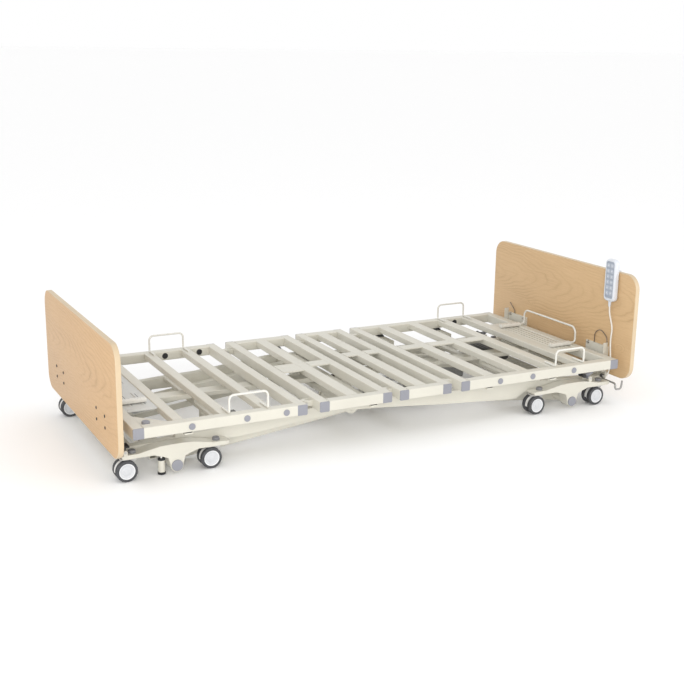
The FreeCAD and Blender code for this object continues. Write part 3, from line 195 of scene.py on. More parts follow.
def brushed(name, color, along, roughness=0.3):
    """Bright steel with fine lines along one axis."""
    s = Shader(name, roughness, 1.0)
    scale = [900.0, 900.0, 900.0]
    scale[along] = 12.0
    lines = s.noise(1.0, 3.0, s.stretch(scale))
    s.color(s.mix(s.spread(lines, 0.3, 0.7), shade(color, 0.8), color))
    s.roughness(s.spread(lines, 0.3, 0.7, roughness - 0.08, roughness + 0.1))
    s.bump(lines, 0.2, 0.00003)
    return s.mat


def laminate(name, heart, knots, light, dark, rings_per_metre):
    """Plain-sawn oak print: nested arches along Y that come and go, knots, fibre streaks and pores."""
    s = Shader(name, 0.42)
    split = s.add("ShaderNodeSeparateXYZ", {"Vector": s.coords})
    y, z = split.outputs["Y"], split.outputs["Z"]

    def distance(centre, stretch_y, lift=0.0):
        along = s.math("MULTIPLY", s.math("SUBTRACT", y, centre[0]), stretch_y)
        across = s.math("ADD", s.math("SUBTRACT", z, centre[1]), lift)
        return s.math("SQRT", s.math("ADD", s.math("POWER", across, 2.0), s.math("POWER", along, 2.0)))

    wander = s.math("SUBTRACT", s.noise(1.0, 2.0, s.stretch((1, 2.6, 4.0))), 0.5)
    ripple = s.math("SUBTRACT", s.noise(1.0, 3.0, s.stretch((1, 10.0, 34.0))), 0.5)
    reach = distance(heart, 0.12, s.math("MULTIPLY", wander, 0.12))
    for knot in knots:
        ring = distance(knot, 0.6)
        near = s.spread(ring, 0.022, 0.070, 1.0, 0.0)
        reach = s.math("MULTIPLY_ADD", near, s.math("SUBTRACT", ring, reach), reach)
    wavy = s.math("MULTIPLY_ADD", ripple, 0.010, reach)
    rings = s.math("FRACT", s.math("MULTIPLY", wavy, rings_per_metre))
    grain = s.ramp(rings, [(0.0, dark), (0.10, shade(light, 0.88)), (0.45, light),
                           (0.80, shade(light, 0.94)), (1.0, dark)])
    fade = s.spread(s.noise(1.0, 3.0, s.stretch((1, 2.4, 9.0))), 0.40, 0.66, 0.10, 0.72)
    body = s.mix(fade, light, grain)
    fibre = s.noise(1.0, 4.0, s.stretch((1, 7.0, 260.0)))
    body = s.mix(s.spread(fibre, 0.35, 0.68, 0, 0.30), body, shade(dark, 1.1))
    pores = s.noise(1.0, 2.0, s.stretch((1, 34.0, 1100.0)))
    body = s.mix(s.spread(pores, 0.58, 0.72, 0, 0.30), body, shade(dark, 0.85))
    tone = s.noise(1.0, 2.0, s.stretch((1, 2.0, 7.0)))
    s.color(s.mix(s.spread(tone, 0.3, 0.7, 0, 0.25), body, shade(light, 1.08)))
    s.roughness(s.spread(pores, 0.3, 0.7, 0.36, 0.5))
    s.bump(pores, 0.25, 0.00005)
    s.bsdf.inputs["Specular IOR Level"].default_value = 0.3
    return s.mat


OAK_HEAD = ((0.620, 0.430, 0.240), (0.40, 0.245, 0.120))
OAK_FOOT = ((0.610, 0.400, 0.210), (0.40, 0.230, 0.105))
HEAD_KNOTS = ((-0.415, 0.235), (0.235, 0.235))
FOOT_KNOTS = ((0.62, 0.35),)
CREAM = (0.625, 0.605, 0.530)
M = {
    "cream": coated("cream_powder_coat", CREAM, 0.40, 0.045),
    "wire": coated("white_wire_coat", (0.70, 0.69, 0.64), 0.28, 0.03, coat=0.3),
    "sheet": coated("pale_grey_sheet", (0.56, 0.565, 0.54), 0.38, 0.05),
    "cap": coated("lavender_grey_plastic", (0.262, 0.266, 0.298), 0.5, 0.08, 900.0, 0.0001),
    "stem_cap": coated("dark_grey_plastic", (0.19, 0.19, 0.20), 0.45, 0.1, 900.0, 0.0001),
    "castor": coated("castor_grey_plastic", (0.52, 0.51, 0.49), 0.4, 0.05),
    "hood": coated("castor_hood_plastic", (0.66, 0.655, 0.64), 0.38, 0.04),
    "hub": coated("white_hub_plastic", (0.80, 0.81, 0.82), 0.35, 0.02, 1600.0, 0.00003, coat=0.2),
    "hub_face": coated("grey_hub_plastic", (0.58, 0.59, 0.61), 0.38, 0.02, 1600.0, 0.00003),
    # black: real black plastic parts, and also painted shade in the foot sheet's slots, the socket mouths
    # and the bolt sockets
    "black": coated("black_plastic_and_painted_shade", (0.018, 0.018, 0.020), 0.42, 0.2, 1100.0, 0.00008),
    "graphite": coated("graphite_housing", (0.050, 0.048, 0.046), 0.4, 0.15, 800.0, 0.00012),
    "motor": coated("motor_grey_housing", (0.27, 0.27, 0.265), 0.42, 0.08, 800.0, 0.00010),
    "ribbed": coated("brown_ribbed_sleeve", (0.085, 0.062, 0.048), 0.38, 0.1, 800.0, 0.00008),
    "rubber": coated("black_rubber", (0.022, 0.022, 0.024), 0.7, 0.2, 1500.0, 0.00012),
    "handset": coated("handset_white", (0.66, 0.69, 0.74), 0.3, 0.02, 1500.0, 0.00003, coat=0.25),
    "keypad": coated("keypad_blue_grey", (0.33, 0.37, 0.44), 0.5, 0.05, 1500.0, 0.00005),
    "key": coated("key_pale_blue", (0.46, 0.50, 0.57), 0.45, 0.04, 1500.0, 0.00005),
    "mark": coated("key_mark_white", (0.85, 0.87, 0.90), 0.5, 0.02),
    "cord": coated("cord_white", (0.74, 0.72, 0.67), 0.45, 0.03, 700.0, 0.00005),
    "band": coated("board_edge_band", (0.60, 0.475, 0.315), 0.4, 0.05, 1300.0, 0.00004),
    "zinc": coated("zinc_plate", (0.55, 0.54, 0.52), 0.34, 0.12, 500.0, 0.00003, metallic=1.0),
    "dark_steel": coated("blackened_steel", (0.10, 0.095, 0.09), 0.38, 0.15, 500.0, 0.00004, metallic=0.9),
    # bronze wire colour, also used as painted shade in the head sheet's drain slots
    "bronze_wire_and_slot_shade": coated("bronze_wire_and_slot_shade", (0.20, 0.16, 0.135), 0.3, 0.1, 500.0, 0.00003, metallic=0.6),
    "hook_wire": coated("grey_hook_wire", (0.36, 0.35, 0.34), 0.32, 0.1, 500.0, 0.00003, metallic=0.6),
    "steel_x": brushed("bright_steel_rod", (0.66, 0.65, 0.63), 0),
    "steel_y": brushed("bright_steel_pin", (0.66, 0.65, 0.63), 1),
    "alloy": brushed("alloy_tube", (0.60, 0.60, 0.60), 0, 0.38),
    "tyre": tyre_rubber(),
    "oak_head": laminate("oak_laminate_head", (0.95, 0.41), HEAD_KNOTS, *OAK_HEAD, 105.0),
    "oak_foot": laminate("oak_laminate_foot", (0.70, 0.33), FOOT_KNOTS, *OAK_FOOT, 95.0),
}


# ---- mesh helpers -----------------------------------------------------------------------------
def make_object(name, bm, materials, smooth_angle=35.0):
    """A mesh object from a bmesh, smooth-shaded except at sharp edges."""
    bmesh.ops.recalc_face_normals(bm, faces=bm.faces)
    limit = math.radians(smooth_angle)
    for edge in bm.edges:
        edge.smooth = len(edge.link_faces) == 2 and edge.calc_face_angle(0.0) < limit
    for face in bm.faces:
        face.smooth = True
    mesh = bpy.data.meshes.new(name)
    bm.to_mesh(mesh)
    bm.free()
    for key in materials:
        mesh.materials.append(M[key])
    obj = bpy.data.objects.new(name, mesh)
    bpy.context.scene.collection.objects.link(obj)
    return obj


def piece(obj, body, slot, *replaced):
    """Puts a new piece on its body and hides the CAD nodes that it stands for; its slot is not used."""
    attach(obj, body)
    if replaced:
        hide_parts(*replaced)


def rounded_outline(u0, u1, v0, v1, radius, steps=8):
    """Points of a rounded rectangle, anticlockwise."""
    points = []
    for cu, cv, start in ((u1, v1, 0), (u0, v1, 90), (u0, v0, 180), (u1, v0, 270)):
        cu += radius if cu == u0 else -radius
        cv += radius if cv == v0 else -radius
        for i in range(steps + 1):
            a = math.radians(start + 90 * i / steps)
            points.append((cu + radius * math.cos(a), cv + radius * math.sin(a)))
    return points


AXES = {"x": (Vector((0, 1, 0)), Vector((0, 0, 1)), Vector((1, 0, 0))),
        "y": (Vector((0, 0, 1)), Vector((1, 0, 0)), Vector((0, 1, 0))),
        "z": (Vector((1, 0, 0)), Vector((0, 1, 0)), Vector((0, 0, 1)))}


def skin(bm, rings, material=0):
    """Faces between neighbouring closed rings of equal length."""
    for low, high in zip(rings, rings[1:]):
        count = len(low)
        for i in range(count):
            j = (i + 1) % count
            bm.faces.new((low[i], low[j], high[j], high[i])).material_index = material


def slab(bm, extent, radius, axis, profile, steps=8, side_material=0, cap_material=0):
    """A plate of rounded outline built from rings; profile gives (height along the axis, inset)."""
    u_dir, v_dir, w_dir = AXES[axis]
    u0, u1, v0, v1 = extent
    rings = []
    for height, inset in profile:
        corner = max(radius - inset, 0.0002)
        outline = rounded_outline(u0 + inset, u1 - inset, v0 + inset, v1 - inset, corner, steps)
        rings.append([bm.verts.new(u_dir * u + v_dir * v + w_dir * height) for u, v in outline])
    skin(bm, rings, side_material)
    for ring in (rings[0], rings[-1]):
        bm.faces.new(ring).material_index = cap_material


def soft_profile(low, high, edge):
    """Heights and insets of a slab with rounded rims."""
    angles = [math.radians(a) for a in (0, 30, 60, 90)]
    turns = [(edge * (1 - math.cos(a)), edge * (1 - math.sin(a))) for a in angles]
    return [(low + h, i) for h, i in turns] + [(high - h, i) for h, i in reversed(turns)]


def lathe(bm, profile, centre, axis, segments=40, materials=None):
    """A surface of revolution; profile gives (radius, height along the axis)."""
    u_dir, v_dir, w_dir = AXES[axis]
    centre = Vector(centre)
    rings = []
    for radius, height in profile:
        if radius < 1e-6:
            rings.append([bm.verts.new(centre + w_dir * height)])
            continue
        ring = []
        for i in range(segments):
            a = 2 * math.pi * i / segments
            across = u_dir * (radius * math.cos(a)) + v_dir * (radius * math.sin(a))
            ring.append(bm.verts.new(centre + across + w_dir * height))
        rings.append(ring)
    for index, (low, high) in enumerate(zip(rings, rings[1:])):
        for i in range(segments):
            j = (i + 1) % segments
            corners = [low[i % len(low)], low[j % len(low)], high[j % len(high)], high[i % len(high)]]
            face = bm.faces.new(list(dict.fromkeys(corners)))
            face.material_index = materials[index] if materials else 0


# ---- end boards -------------------------------------------------------------------------------
def end_board(node, material):
    """Laminated board with rounded corners and a thin edge band."""
    low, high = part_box(node)
    bm = bmesh.new()
    profile = soft_profile(low.x, high.x, 0.0018)
    slab(bm, (low.y, high.y, low.z, high.z), 0.060, "x", profile, 16, 1, 0)
    for face in bm.faces:
        if abs(face.normal.x) > 0.4 or len(face.verts) > 4:
            face.material_index = 0
    piece(make_object(f"{node}_panel", bm, [material, "band"]), "frame", "laminate", node)


# ---- castors ----------------------------------------------------------------------------------
WHEEL_R, HUB_R, TYRE_NEAR, TYRE_FAR = 0.0375, 0.0286, 0.007, 0.027
HUB_RIM_STEPS = 7
TREAD_GROOVES = (-0.0035, 0.0, 0.0035)
WHEEL_SEGMENTS = 64


def wheel_mesh():
    """Twin tyres with tread grooves, dished white discs and their axle, round the wheel's centre."""
    bm = bmesh.new()
    half = (TYRE_FAR - TYRE_NEAR) / 2
    corner = 0.0042
    outline = [(HUB_R - 0.0006, -half), (HUB_R + 0.0012, -half), (HUB_R + 0.0018, -half + 0.0007),
               (HUB_R + 0.0030, -half + 0.0007), (HUB_R + 0.0036, -half)]
    for i in range(7):
        a = math.radians(90 * i / 6)
        outline.append((WHEEL_R - corner + corner * math.sin(a), -half + corner - corner * math.cos(a)))
    near_half = list(outline)
    for groove in TREAD_GROOVES:
        outline += [(WHEEL_R, groove - 0.0007), (WHEEL_R - 0.0011, groove - 0.0005),
                    (WHEEL_R - 0.0011, groove + 0.0005), (WHEEL_R, groove + 0.0007)]
    outline += [(r, -h) for r, h in reversed(near_half)]
    middle = (TYRE_FAR + TYRE_NEAR) / 2
    loop = outline + [outline[0]]
    disc = [(0.0, TYRE_NEAR + 0.001), (0.024, TYRE_NEAR + 0.001), (HUB_R - 0.0006, TYRE_NEAR + 0.0002),
            (HUB_R, TYRE_NEAR + 0.002), (HUB_R, TYRE_FAR - 0.0022), (HUB_R - 0.0008, TYRE_FAR - 0.0012),
            (HUB_R - 0.0030, TYRE_FAR - 0.0010), (HUB_R - 0.0040, TYRE_FAR - 0.0026),
            (0.0185, TYRE_FAR - 0.0034), (0.0178, TYRE_FAR - 0.0040), (0.0168, TYRE_FAR - 0.0040),
            (0.0160, TYRE_FAR - 0.0034), (0.0085, TYRE_FAR - 0.0032), (0.0078, TYRE_FAR - 0.0018),
            (0.0060, TYRE_FAR - 0.0012), (0.0, TYRE_FAR - 0.0010)]
    rim_then_face = [1] * HUB_RIM_STEPS + [3] * (len(disc) - 1 - HUB_RIM_STEPS)
    for sign in SIDES:
        lathe(bm, loop, (0, sign * middle, 0), "y", WHEEL_SEGMENTS)
        lathe(bm, [(r, sign * h) for r, h in disc], (0, 0, 0), "y", WHEEL_SEGMENTS, rim_then_face)
    axle = [(0.0, -0.012), (0.0039, -0.012), (0.0039, 0.012), (0.0, 0.012)]
    lathe(bm, axle, (0, 0, 0), "y", 20, [2] * 3)
    bmesh.ops.remove_doubles(bm, verts=bm.verts, dist=1e-6)
    return make_object("wheel_pattern", bm, ["tyre", "hub", "zinc", "hub_face"], 40.0)


def hood_mesh(bm, centre, steps=30):
    """Arched shell of the fork between the two tyres, over their upper half."""
    inner, outer, half, edge = 0.0300, WHEEL_R - 0.0006, 0.0056, 0.0010
    first, last = math.radians(-8), math.radians(188)
    section = [(inner, -half), (outer - edge, -half), (outer, edge - half), (outer, half - edge),
               (outer - edge, half), (inner, half)]
    rings = []
    for i in range(steps + 1):
        a = first + (last - first) * i / steps
        across = Vector((math.cos(a), 0, math.sin(a)))
        rings.append([bm.verts.new(centre + across * r + Vector((0, y, 0))) for r, y in section])
    skin(bm, rings)
    bm.faces.new(rings[0])
    bm.faces.new(rings[-1])


def castors():
    """Twin wheels and a fork hood at the place of each CAD pair."""
    pattern = wheel_mesh()
    for node in sorted(nodes):
        if node.startswith("castor_wheels_"):
            place = node[len("castor_wheels_"):]
            low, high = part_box(node)
            obj = bpy.data.objects.new(f"wheels_twin_{place}", pattern.data)
            bpy.context.scene.collection.objects.link(obj)
            centre = (low + high) / 2
            obj.location = centre
            piece(obj, f"wheels_{place}", "tyre", node)
            bm = bmesh.new()
            hood_mesh(bm, centre)
            piece(make_object(f"castor_hood_{place}", bm, ["hood"]), f"castor_{place}", "castor_body")
    bpy.data.objects.remove(pattern)


# ---- stabilisers, pedals and levers -----------------------------------------------------------
ARM_Y = 0.378       # middle of each carriage arm, from the bed's centre line


def stabilisers():
    """Rubber-tipped posts with a collar and a bright rod."""
    low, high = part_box("stabiliser_feet")
    x = (low.x + high.x) / 2
    bm = bmesh.new()
    for sign in SIDES:
        centre = (x, sign * ARM_Y, 0)
        tip = [(0.0, 0.0), (0.0115, 0.0), (0.0138, 0.0012), (0.0140, 0.0040), (0.0130, 0.0050),
               (0.0140, 0.0062), (0.0138, 0.0085), (0.0122, 0.0095)]
        post = [(0.0122, 0.0095), (0.0119, 0.012), (0.0119, 0.022), (0.0127, 0.0225), (0.0127, 0.0265),
                (0.0119, 0.027), (0.0119, 0.051)]
        cap = [(0.0119, 0.051), (0.0130, 0.0516), (0.0130, 0.0575), (0.0118, 0.0588), (0.0052, 0.0590)]
        rod = [(0.0052, 0.0590), (0.0049, 0.0595), (0.0049, 0.0885), (0.0, 0.0890)]
        profile = tip + post[1:] + cap[1:] + rod[1:]
        kinds = []
        for material, run in ((1, tip), (0, post), (1, cap), (2, rod)):
            kinds += [material] * (len(run) - 1)
        lathe(bm, profile, centre, "z", 32, kinds)
    posts = make_object("stabiliser_posts", bm, ["cream", "black", "zinc"])
    piece(posts, "stabilisers", "frame_paint", "stabiliser_feet")


def pivot(bm, x, y, z):
    """Boss across Y and the bright pin through it."""
    boss = [(0.0, -0.0168), (0.0062, -0.0168), (0.007, -0.016), (0.007, 0.016), (0.0062, 0.0168),
            (0.0, 0.0168)]
    pin = [(0.0, -0.0242), (0.0038, -0.0240), (0.0038, 0.0240), (0.0, 0.0242)]
    lathe(bm, boss, (x, y, z), "y", 28)
    lathe(bm, pin, (x, y, z), "y", 20, [2] * 3)


PEDAL_PIN_Z = 0.104
TREAD_RIBS, TREAD_PITCH = 6, 0.005


def foot_pedals():
    """Ribbed black treads on their stalks and pins."""
    low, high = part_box("foot_brake_pedals")
    x, z = (low.x + high.x) / 2, PEDAL_PIN_Z
    bm = bmesh.new()
    for sign in SIDES:
        y = sign * ARM_Y
        slab(bm, (y - 0.020, y + 0.020, z + 0.0142, z + 0.0205), 0.0025, "x",
             soft_profile(x - 0.016, x + 0.016, 0.002), 3, 1, 1)
        for i in range(TREAD_RIBS):
            rib = x - 0.0125 + TREAD_PITCH * i
            slab(bm, (y - 0.0175, y + 0.0175, z + 0.0200, z + 0.0228), 0.0008, "x",
                 soft_profile(rib - 0.0012, rib + 0.0012, 0.0005), 2, 1, 1)
        slab(bm, (x - 0.0048, x + 0.0048, y - 0.0165, y + 0.0165), 0.002, "z",
             soft_profile(z, z + 0.0150, 0.0004), 3)
        pivot(bm, x, y, z)
    treads = make_object("foot_pedal_treads", bm, ["graphite", "black", "zinc"])
    piece(treads, "foot_pedals", "dark_plastic", "foot_brake_pedals")


LEVER_PIN_X, LEVER_PIN_Z = 0.926, 0.118
LEVER_OUTLINE = ((-0.026, 0.0065), (-0.026, 0.0125), (-0.004, 0.0145), (0.024, 0.0225), (0.0265, 0.0195),
                 (0.0255, 0.0160), (0.0065, 0.002), (0.005, -0.003), (-0.005, -0.003), (-0.0065, 0.002))


def head_levers():
    """Cranked grey levers with black knobs."""
    x, z, mid = LEVER_PIN_X, LEVER_PIN_Z, 0.008
    bm = bmesh.new()
    for sign in SIDES:
        y = sign * ARM_Y
        rings = []
        ends = ((-0.006, 0.98, 0.9), (-0.005, 1.0, 1.0), (0.005, 1.0, 1.0), (0.006, 0.98, 0.9))
        for dy, wide, tall in ends:
            rings.append([bm.verts.new((x + dx * wide, y + dy, z + mid + (dz - mid) * tall))
                          for dx, dz in LEVER_OUTLINE])
        skin(bm, rings)
        bm.faces.new(rings[0])
        bm.faces.new(rings[-1])
        pivot(bm, x, y, z)
        knob = [(0.0, -0.0180), (0.0060, -0.0178), (0.0086, -0.0160), (0.0090, -0.0130), (0.0078, -0.0085),
                (0.0078, 0.0085), (0.0090, 0.0130), (0.0086, 0.0160), (0.0060, 0.0178), (0.0, 0.0180)]
        lathe(bm, knob, (x - 0.024, y, z + 0.010), "y", 28, [1] * 9)
    levers = make_object("head_lever_bars", bm, ["cap", "black", "zinc"])
    piece(levers, "head_levers", "cap_plastic", "head_brake_levers")


# ---- rest pads and bolts ----------------------------------------------------------------------
PAD_X = (-0.819, -0.108, 0.400, 0.700)
PAD_HALF_X, PAD_Y = 0.014, (0.410, 0.444)


def rest_pads():
    """Rubber bumpers on the frame's post tongues, each with a groove above its foot."""
    low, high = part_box("rest_pads")
    height = high.z - low.z
    profile = [(low.z, 0.0), (low.z + 0.0012, 0.0), (low.z + 0.0016, 0.0009), (low.z + 0.0022, 0.0009),
               (low.z + 0.0026, 0.0002), (low.z + height * 0.72, 0.0008), (low.z + height * 0.9, 0.0022),
               (high.z, 0.0050)]
    bm = bmesh.new()
    for x, sign in itertools.product(PAD_X, SIDES):
        slab(bm, (x - PAD_HALF_X, x + PAD_HALF_X, *sorted(sign * y for y in PAD_Y)), 0.006, "z", profile, 6)
    piece(make_object("rest_bumpers", bm, ["rubber"]), "frame", "rubber", "rest_pads")


def bolt(bm, x_face, direction, y, z, height):
    """Button head with a hexagon socket, standing on a face across X; the socket is coloured black as
    painted shade in its recess.
    """
    centre = (x_face, y, z)
    head = [(0.0058, 0.0), (0.0057, height * 0.45), (0.0048, height * 0.9), (0.0040, height),
            (0.0031, height)]
    floor = height - 0.0018
    socket = [(0.0031, height), (0.0028, floor), (0.0, floor)]
    lathe(bm, [(r, direction * h) for r, h in head], centre, "x", 24)
    # the socket takes the second colour, black: painted shade in the recess
    lathe(bm, [(r, direction * h) for r, h in socket], centre, "x", 6, [1] * 2)


def hex_nut(bm, x_face, direction, y, z):
    """Washer, nut and the bolt's end."""
    washer = [(0.0, 0.0), (0.0066, 0.0), (0.0066, 0.0012), (0.0, 0.0012)]
    nut = [(0.0052, 0.0012), (0.0056, 0.0018), (0.0056, 0.0052), (0.0050, 0.0060), (0.0, 0.0060)]
    thread = [(0.0030, 0.0060), (0.0030, 0.0102), (0.0022, 0.0110), (0.0, 0.0110)]
    for profile, segments in ((washer, 24), (nut, 6), (thread, 16)):
        lathe(bm, [(r, direction * h) for r, h in profile], (x_face, y, z), "x", segments)


BOLT_Y, BOLT_Z = (0.230, 0.334), (0.178, 0.219)
BOARD_FACE_X, BRACKET_FACE_X = 1.073, 1.046
BOLT_HEAD = 0.0020


def board_bolts():
    """Bolts through both end boards into their brackets."""
    head_bm, nut_bm = bmesh.new(), bmesh.new()
    for sign, side, y, z in itertools.product(SIDES, SIDES, BOLT_Y, BOLT_Z):
        bolt(head_bm, sign * BOARD_FACE_X, sign, side * y, z, BOLT_HEAD)
        hex_nut(nut_bm, sign * BRACKET_FACE_X, -sign, side * y, z)
    # second colour black: painted shade in the hex sockets
    heads = make_object("board_bolt_heads", head_bm, ["dark_steel", "black"])
    piece(heads, "frame", "steel", "board_screws")
    piece(make_object("board_bolt_nuts", nut_bm, ["zinc"]), "frame", "steel")


# ---- handset ----------------------------------------------------------------------------------
HANDSET_X, HANDSET_Y, HANDSET_Z = (1.026, 1.050), -0.356, (0.422, 0.596)
HANDSET_HALF, HANGER_HALF = 0.032, 0.014
HEADBOARD_X = (1.050, 1.075)
HANGER_TOP = 0.549
RELIEF_Z, RELIEF_RIBS = 0.400, 5
KEY_ROWS, KEY_PITCH, KEY_COLUMN = 6, 0.0228, 0.0108
KEY_HALF_Y, KEY_HALF_Z = 0.0086, 0.0080


def handset():
    """White shell with a hanger over the board and a ribbed strain relief."""
    (x0, x1), (z0, z1) = HANDSET_X, HANDSET_Z
    y0, y1 = HANDSET_Y - HANDSET_HALF, HANDSET_Y + HANDSET_HALF
    hang0, hang1 = HANDSET_Y - HANGER_HALF, HANDSET_Y + HANGER_HALF
    bm = bmesh.new()
    back = [(x1, 0.006), (x1 - 0.0008, 0.0030), (x1 - 0.003, 0.0010), (x1 - 0.0070, 0.0)]
    rim = [(x0 + 0.0100, 0.0), (x0 + 0.0045, 0.0008), (x0 + 0.0018, 0.0024), (x0 + 0.0004, 0.0046),
           (x0, 0.0066), (x0, 0.0078), (x0 + 0.0016, 0.0084)]
    slab(bm, (y0, y1, z0, z1), 0.0185, "x", back + rim, 14)
    slab(bm, (hang0, hang1, 0.515, 0.5485), 0.003, "x", soft_profile(1.050, 1.054, 0.0008), 4)
    slab(bm, (hang0, hang1, 0.523, HANGER_TOP), 0.003, "x", soft_profile(1.0731, 1.075, 0.0006), 4)
    slab(bm, (*HEADBOARD_X, hang0, hang1), 0.001, "z", soft_profile(0.5452, HANGER_TOP, 0.0006), 3)
    relief = [(0.0033, RELIEF_Z)]
    for i in range(RELIEF_RIBS):
        base, radius = RELIEF_Z + 0.0042 * i, 0.0050 + 0.0004 * i
        relief += [(radius, base), (radius + 0.0001, base + 0.0028), (radius - 0.0009, base + 0.0030),
                   (radius - 0.0009, base + 0.0041)]
    relief += [(0.0072, 0.4210), (0.0072, 0.4230)]
    lathe(bm, relief, (1.037, HANDSET_Y, 0), "z", 28)
    piece(make_object("handset_shell", bm, ["handset"]), "frame", "handset_plastic", "handset_body")


def handset_keys():
    """Sunken membrane with two columns of keys, each with a small triangle."""
    x0, (z0, z1) = HANDSET_X[0], HANDSET_Z
    y0, y1 = HANDSET_Y - HANDSET_HALF, HANDSET_Y + HANDSET_HALF
    bm = bmesh.new()
    slab(bm, (y0 + 0.0086, y1 - 0.0086, z0 + 0.0135, z1 - 0.0090), 0.0095, "x",
         [(x0 + 0.0030, 0.0), (x0 + 0.0010, 0.0), (x0 + 0.0006, 0.0004)], 10)
    for row in range(KEY_ROWS):
        z = z1 - 0.026 - KEY_PITCH * row
        for y, tip in ((HANDSET_Y - KEY_COLUMN, -0.0034), (HANDSET_Y + KEY_COLUMN, 0.0034)):
            slab(bm, (y - KEY_HALF_Y, y + KEY_HALF_Y, z - KEY_HALF_Z, z + KEY_HALF_Z), 0.0035, "x",
                 [(x0 + 0.0008, 0.0), (x0 + 0.0002, 0.0002), (x0 - 0.0002, 0.0012)], 5, 1, 1)
            corners = [(y - 0.0032, z - tip / 2), (y + 0.0032, z - tip / 2), (y, z + tip / 2)]
            mark = bm.faces.new([bm.verts.new((x0 - 0.00035, cy, cz)) for cy, cz in corners])
            mark.material_index = 2
    piece(make_object("handset_keys", bm, ["keypad", "key", "mark"]), "frame", "keypad", "handset_keypad")


CORD_ROUTE = ((1.037, -0.356, 0.422), (1.037, -0.356, 0.380), (1.040, -0.366, 0.346),
              (1.042, -0.378, 0.310), (1.042, -0.372, 0.266), (1.041, -0.376, 0.222),
              (1.037, -0.386, 0.184), (1.032, -0.391, 0.150), (1.029, -0.387, 0.122),
              (1.028, -0.375, 0.104), (1.028, -0.358, 0.104))


def handset_cord():
    """Lead that hangs from the handset to its socket on the right rail."""
    data = bpy.data.curves.new("handset_lead", "CURVE")
    data.dimensions, data.bevel_depth, data.bevel_resolution, data.use_fill_caps = "3D", 0.00325, 5, True
    data.resolution_u = 10
    spline = data.splines.new("NURBS")
    spline.points.add(len(CORD_ROUTE) - 1)
    for point, place in zip(spline.points, CORD_ROUTE):
        point.co = (*place, 1)
    spline.order_u = 3
    spline.use_endpoint_u = True
    data.materials.append(M["cord"])
    lead = bpy.data.objects.new("handset_lead", data)
    bpy.context.scene.collection.objects.link(lead)
    piece(lead, "frame", "cord_jacket", "handset_cord")


# ---- actuators --------------------------------------------------------------------------------
MOTOR_HALF, MOTOR_BELOW, MOTOR_ABOVE = 0.032, 0.030, 0.026      # housing section, round the rod's axis
TAIL_GAP = 0.014                                                # from the tail pin to the housing
TUBE_BORE, TUBE_R, GROOVE_R = 0.0103, 0.0148, 0.0128
RIB_PITCH = 0.009


def motor_block(bm, lane, z, start, way, block):
    """Ribbed housing of rounded section, from start to its far end."""
    end = start + way * block
    profile = [(start, 0.008), (start + way * 0.0015, 0.003), (start + way * 0.005, 0.0)]
    ribs = max(3, int(block / 0.018))
    for i in range(ribs):
        at = start + way * (0.012 + (block - 0.024) * i / (ribs - 1))
        profile += [(at - way * 0.0022, 0.0), (at - way * 0.0012, 0.0016), (at + way * 0.0012, 0.0016),
                    (at + way * 0.0022, 0.0)]
    profile += [(end - way * 0.005, 0.0), (end - way * 0.0015, 0.003), (end, 0.008)]
    section = (lane - MOTOR_HALF, lane + MOTOR_HALF, z - MOTOR_BELOW, z + MOTOR_ABOVE)
    slab(bm, section, 0.012, "x", profile, 8)


def motor_fittings(bm, lane, z, start, way, block, tail_x):
    """Motor can, cover screws, cable gland and tail eye."""
    side = 1 if lane > 0 else -1
    end = start + way * block
    can = [(0.0, 0.030), (0.0210, 0.030), (0.0210, 0.036), (0.0196, 0.037), (0.0196, 0.060),
           (0.0204, 0.061), (0.0204, 0.0640), (0.0180, 0.0700), (0.0100, 0.0718), (0.0, 0.0720)]
    lathe(bm, [(r, side * h) for r, h in can], ((start + end) / 2, lane, z), "y", 36,
          [0, 0, 0, 1, 0, 0, 0, 0, 0])
    screw = [(0.0034, 0.0), (0.0032, way * 0.0018), (0.0016, way * 0.0022), (0.0, way * 0.0012)]
    for dy, dz in itertools.product(SIDES, SIDES):
        lathe(bm, screw, (end, lane + dy * 0.021, z - 0.002 + dz * 0.019), "x", 12, [2] * 3)
    gland = [(0.0, 0.0), (0.0062, 0.0), (0.0062, 0.005), (0.0044, 0.006), (0.0040, 0.012), (0.0026, 0.0125),
             (0.0, 0.0125)]
    gland_place = (start + way * 0.016, lane - side * 0.016, z)
    lathe(bm, [(r, MOTOR_ABOVE + h) for r, h in gland], gland_place, "z", 20)
    fork = sorted((tail_x, start + way * 0.001))
    thickness = soft_profile(lane - 0.009, lane + 0.009, 0.001)
    slab(bm, (z - 0.010, z + 0.010, *fork), 0.002, "y", thickness, 3, 1, 1)
    eye = [(0.0051, -0.009), (0.0095, -0.009), (0.010, -0.0085), (0.010, 0.0085), (0.0095, 0.009),
           (0.0051, 0.009), (0.0051, -0.009)]
    lathe(bm, eye, (tail_x, lane, z), "y", 28, [1] * 6)


def outer_tube(bm, lane, z, end, way, length, ribbed):
    """Tube or ribbed sleeve that the rod slides in, with its wiper collar."""
    pipe = [(TUBE_BORE, 0.0), (TUBE_R, 0.0)]
    if ribbed:
        for i in range(int((length - 0.02) / RIB_PITCH)):
            at = 0.004 + RIB_PITCH * i
            pipe += [(GROOVE_R, at), (GROOVE_R, at + 0.002), (TUBE_R, at + 0.003), (TUBE_R, at + 0.008)]
    collar = [(TUBE_R, length - 0.010), (0.0150, length - 0.009), (0.0150, length - 0.001),
              (0.0142, length), (TUBE_BORE, length), (TUBE_BORE, length - 0.020)]
    kinds = [1] * len(pipe) + [0] * (len(collar) - 1)
    lathe(bm, [(r, way * h) for r, h in pipe + collar], (end, lane, z), "x", 36, kinds)


